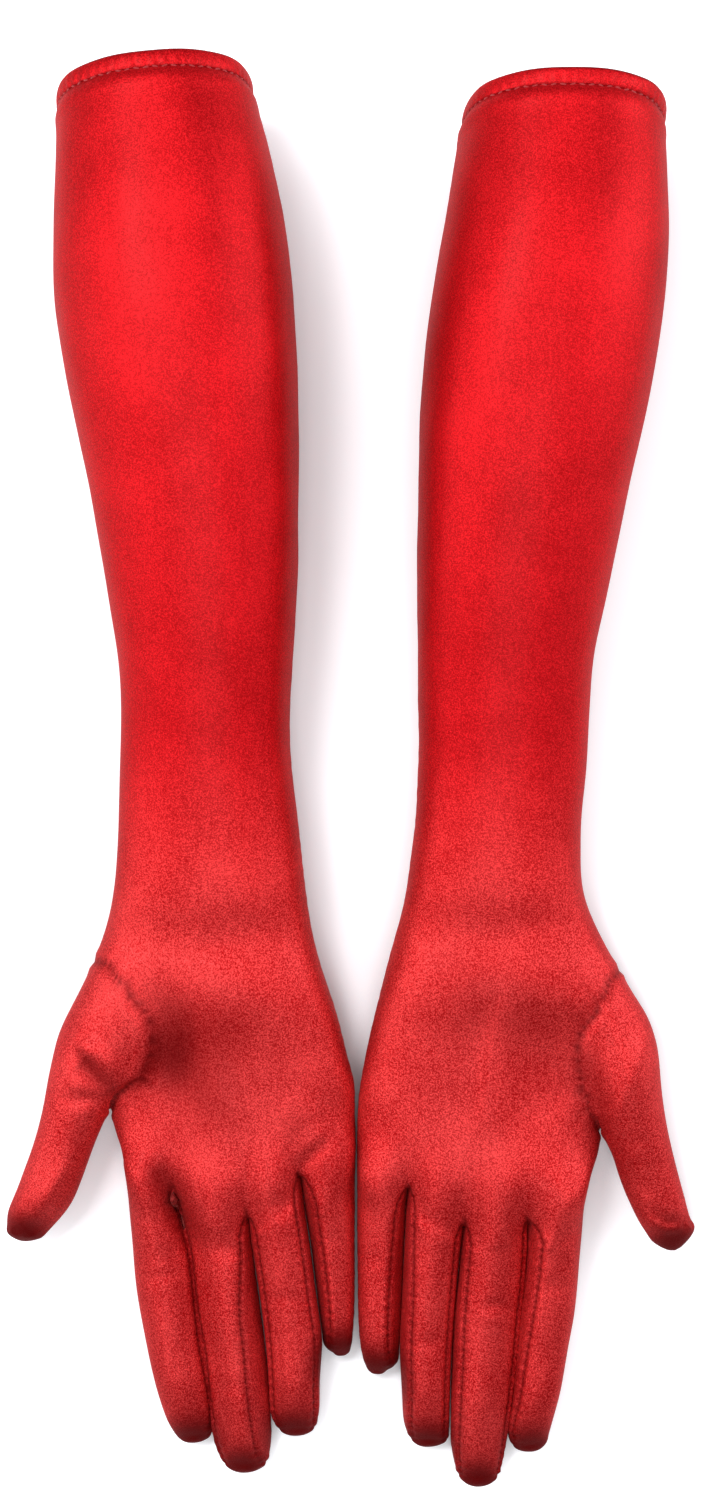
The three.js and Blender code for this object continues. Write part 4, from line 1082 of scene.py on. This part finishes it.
    # hem: a rolled fold from the cuff's edge to the stitch line
    edge_count = {}
    for face, part in zip(Q.tolist(), M.tolist()):
        if part == pid["hemstrip"]:
            for k in range(4):
                e = (min(face[k], face[k - 1]), max(face[k], face[k - 1]))
                edge_count[e] = edge_count.get(e, 0) + 1
    once = [e for e, n in edge_count.items() if n == 1]
    loops = chains(once)

    def ordered(start, second):
        loop = next(c for c in loops if start in c)
        loop = loop[:-1] if loop[0] == loop[-1] else loop
        i = loop.index(start)
        loop = loop[i:] + loop[:i]
        j = loop.index(second)
        if j > len(loop) / 2:
            loop = [loop[0]] + loop[1:][::-1]
        return loop

    top = ordered(number["r0c0"], number["r0c1"])
    low = ordered(number["r1c0"], number["r1c1"])
    n = 480
    p0 = resample_loop(V[top] + 0, n)
    p1 = resample_loop(V2[low], n)
    n0, n1 = resample_loop(N[top], n), resample_loop(N[low], n)
    n0 /= np.linalg.norm(n0, axis=1, keepdims=True)
    n1 /= np.linalg.norm(n1, axis=1, keepdims=True)
    s = np.concatenate([[0], np.cumsum(np.linalg.norm(np.diff(np.concatenate([p1, p1[:1]]), axis=0), axis=1))])
    total, s = s[-1], s[:-1]
    turns = round(total / 3.3)
    ripple = np.sin(2 * math.pi * turns * s / total) + 0.5 * np.sin(2 * math.pi * round(total / 5.3) * s / total + 1.0)
    OUT = [(1.0, -0.02), (0.93, 0.16), (0.82, 0.34), (0.66, 0.46), (0.5, 0.5), (0.34, 0.5), (0.2, 0.44), (0.1, 0.3), (0.02, 0.06), (-0.04, -0.3), (-0.07, -0.7),
           (-0.05, -1.1), (0.0, -1.45), (0.1, -1.72), (0.25, -1.88), (0.45, -1.94), (0.65, -1.9), (0.82, -1.76), (0.95, -1.5), (1.04, -1.2)]
    MID = -0.72
    rings = []
    for i in range(n):
        path = []
        for u, h in OUT:
            p = p0[i] * (1 - u) + p1[i] * u
            nn = n0[i] * (1 - u) + n1[i] * u
            nn /= np.linalg.norm(nn)
            wob = ripple[i] * 0.09 * max(0, u) ** 1.5 * (1 if h > MID else 0.5) + 0.05 * math.sin(s[i] * 0.33)
            path.append(p + nn * (h + wob))
        path = np.array(path)
        inside = []
        for (u, h), q in zip(OUT, path):
            uu = min(max(u, 0.10), 1.0)
            c = p0[i] * (1 - uu) + p1[i] * uu
            nn = n0[i] * (1 - uu) + n1[i] * uu
            nn /= np.linalg.norm(nn)
            c = c + nn * MID
            v = c - q
            inside.append(q + v / np.linalg.norm(v) * min(0.42, np.linalg.norm(v) * 0.8))
        rings.append(np.concatenate([path, np.array(inside)[::-1]]))
    hem, HV, HQ = ring_sweep(f"{side}_hem_fold", rings, SATIN)
    # painted shade along the fold's edge and at the stitch line
    m = len(OUT)
    profile = np.array([0.85 if u > 0.97 else 0.35 if u > 0.9 else 0.75 if -0.05 < u < 0.05 and h > -0.5 else 0.0 for u, h in OUT] + [0.0] * m)
    hem.data.attributes["seam"].data.foreach_set("value", np.tile(profile, n).astype(np.float32))
    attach(hem, bodies["sleeve"])
    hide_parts(f"{side}_hem")
    strap = []
    for i in range(n // 2):
        j = 2 * i
        t = 0.5 * abs(math.sin(i * 0.9))
        ring = []
        for u, h in [(0.16, -0.53), (0.5, -0.50 - 0.03 * t), (0.84, -0.53), (0.86, -0.75), (0.84, -0.97), (0.5, -1.0 + 0.03 * t), (0.16, -0.97), (0.14, -0.75)]:
            p = p0[j] * (1 - u) + p1[j] * u
            nn = n0[j] * (1 - u) + n1[j] * u
            ring.append(p + nn / np.linalg.norm(nn) * h)
        strap.append(ring)
    band, _, _ = ring_sweep(f"{side}_cuff_elastic_braid", strap, ELASTIC)
    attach(band, bodies["sleeve"])
    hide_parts(f"{side}_cuff_elastic")
    st = stitches(f"{side}_hem_stitches", p1 - n1 * 0.05, n1, 1.9, 0.9, 0.26, THREAD, sink=0.10, zig=0.5)
    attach(st, bodies["sleeve"])
    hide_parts(f"{side}_hem_thread")
    SIZES[hem.name] = [round(total, 1), 13.5, 0]
    return made


for side, seed in (("right", 3), ("left", 17)):
    make_glove(side, seed)

# ---- floor, light, camera ------------------------------------------------------------------------
floor = mesh_object("floor", [(-6, -6, 0), (6, -6, 0), (6, 6, 0), (-6, 6, 0)], [[0, 1, 2, 3]])
fm = bpy.data.materials.new("floor_paper")
nt, b = nodes_of(fm)
b.inputs["Base Color"].default_value = (0.74, 0.745, 0.77, 1)
b.inputs["Roughness"].default_value = 0.8
b.inputs["Specular IOR Level"].default_value = 0.1
# the paper glows for the camera only, so it reads evenly white; ambient occlusion dims the glow near the gloves, which
# paints their contact shadow
path = nt.nodes.new("ShaderNodeLightPath")
b.inputs["Emission Color"].default_value = (0.97, 0.98, 1.0, 1)
near = nt.nodes.new("ShaderNodeAmbientOcclusion")
near.samples = 12
near.inputs["Distance"].default_value = 0.07
glow = math_node(nt, "MULTIPLY", path.outputs["Is Camera Ray"], 1.0)
nt.links.new(math_node(nt, "MULTIPLY", glow, math_node(nt, "POWER", near.outputs["AO"], 1.3)), b.inputs["Emission Strength"])
floor.data.materials.append(fm)


def area_light(name, place, target, size, power, colour=(1, 1, 1)):
    li = bpy.data.lights.new(name, "AREA")
    li.shape, li.size, li.size_y = "RECTANGLE", size[0], size[1]
    li.energy, li.color = power, colour
    ob = bpy.data.objects.new(name, li)
    ob.location = place
    ob.rotation_mode = "QUATERNION"
    ob.rotation_quaternion = (Vector(target) - Vector(place)).to_track_quat("-Z", "Y")
    bpy.context.scene.collection.objects.link(ob)
    return ob


area_light("key", (-0.50, 0.40, 1.25), (0, -0.06, 0), (0.45, 0.45), 13)
area_light("left", (-1.2, 0.05, 0.60), (0, 0, 0), (0.4, 1.5), 6)
area_light("over", (0.05, -0.42, 1.7), (0, -0.16, 0), (0.6, 0.5), 9.5)
area_light("right", (1.15, 0.35, 0.60), (0.05, 0.05, 0.03), (0.4, 1.2), 10, (0.95, 0.97, 1.0))
w = bpy.data.worlds.new("studio")
w.use_nodes = True
w.node_tree.nodes["Background"].inputs[0].default_value = (0.94, 0.96, 1.0, 1)
# the backdrop itself is bright, and gives little light
sky = w.node_tree.nodes.new("ShaderNodeLightPath")
w.node_tree.links.new(math_node(w.node_tree, "ADD", math_node(w.node_tree, "MULTIPLY", sky.outputs["Is Camera Ray"], 0.95), 0.11), w.node_tree.nodes["Background"].inputs[1])
bpy.context.scene.world = w

cam = bpy.data.cameras.new("camera")
cam.lens, cam.sensor_width, cam.sensor_fit = 75.87, 36.0, "AUTO"
cam.clip_start, cam.clip_end = 0.01, 50
cam_ob = bpy.data.objects.new("camera", cam)
cam_ob.location = (0.0029850006, 0.0115744247, 1.0)
bpy.context.scene.collection.objects.link(cam_ob)
bpy.context.scene.camera = cam_ob
bpy.context.scene.view_settings.view_transform = "Standard"
bpy.context.scene.view_settings.look = "None"

print("FLAT", json.dumps(SIZES))
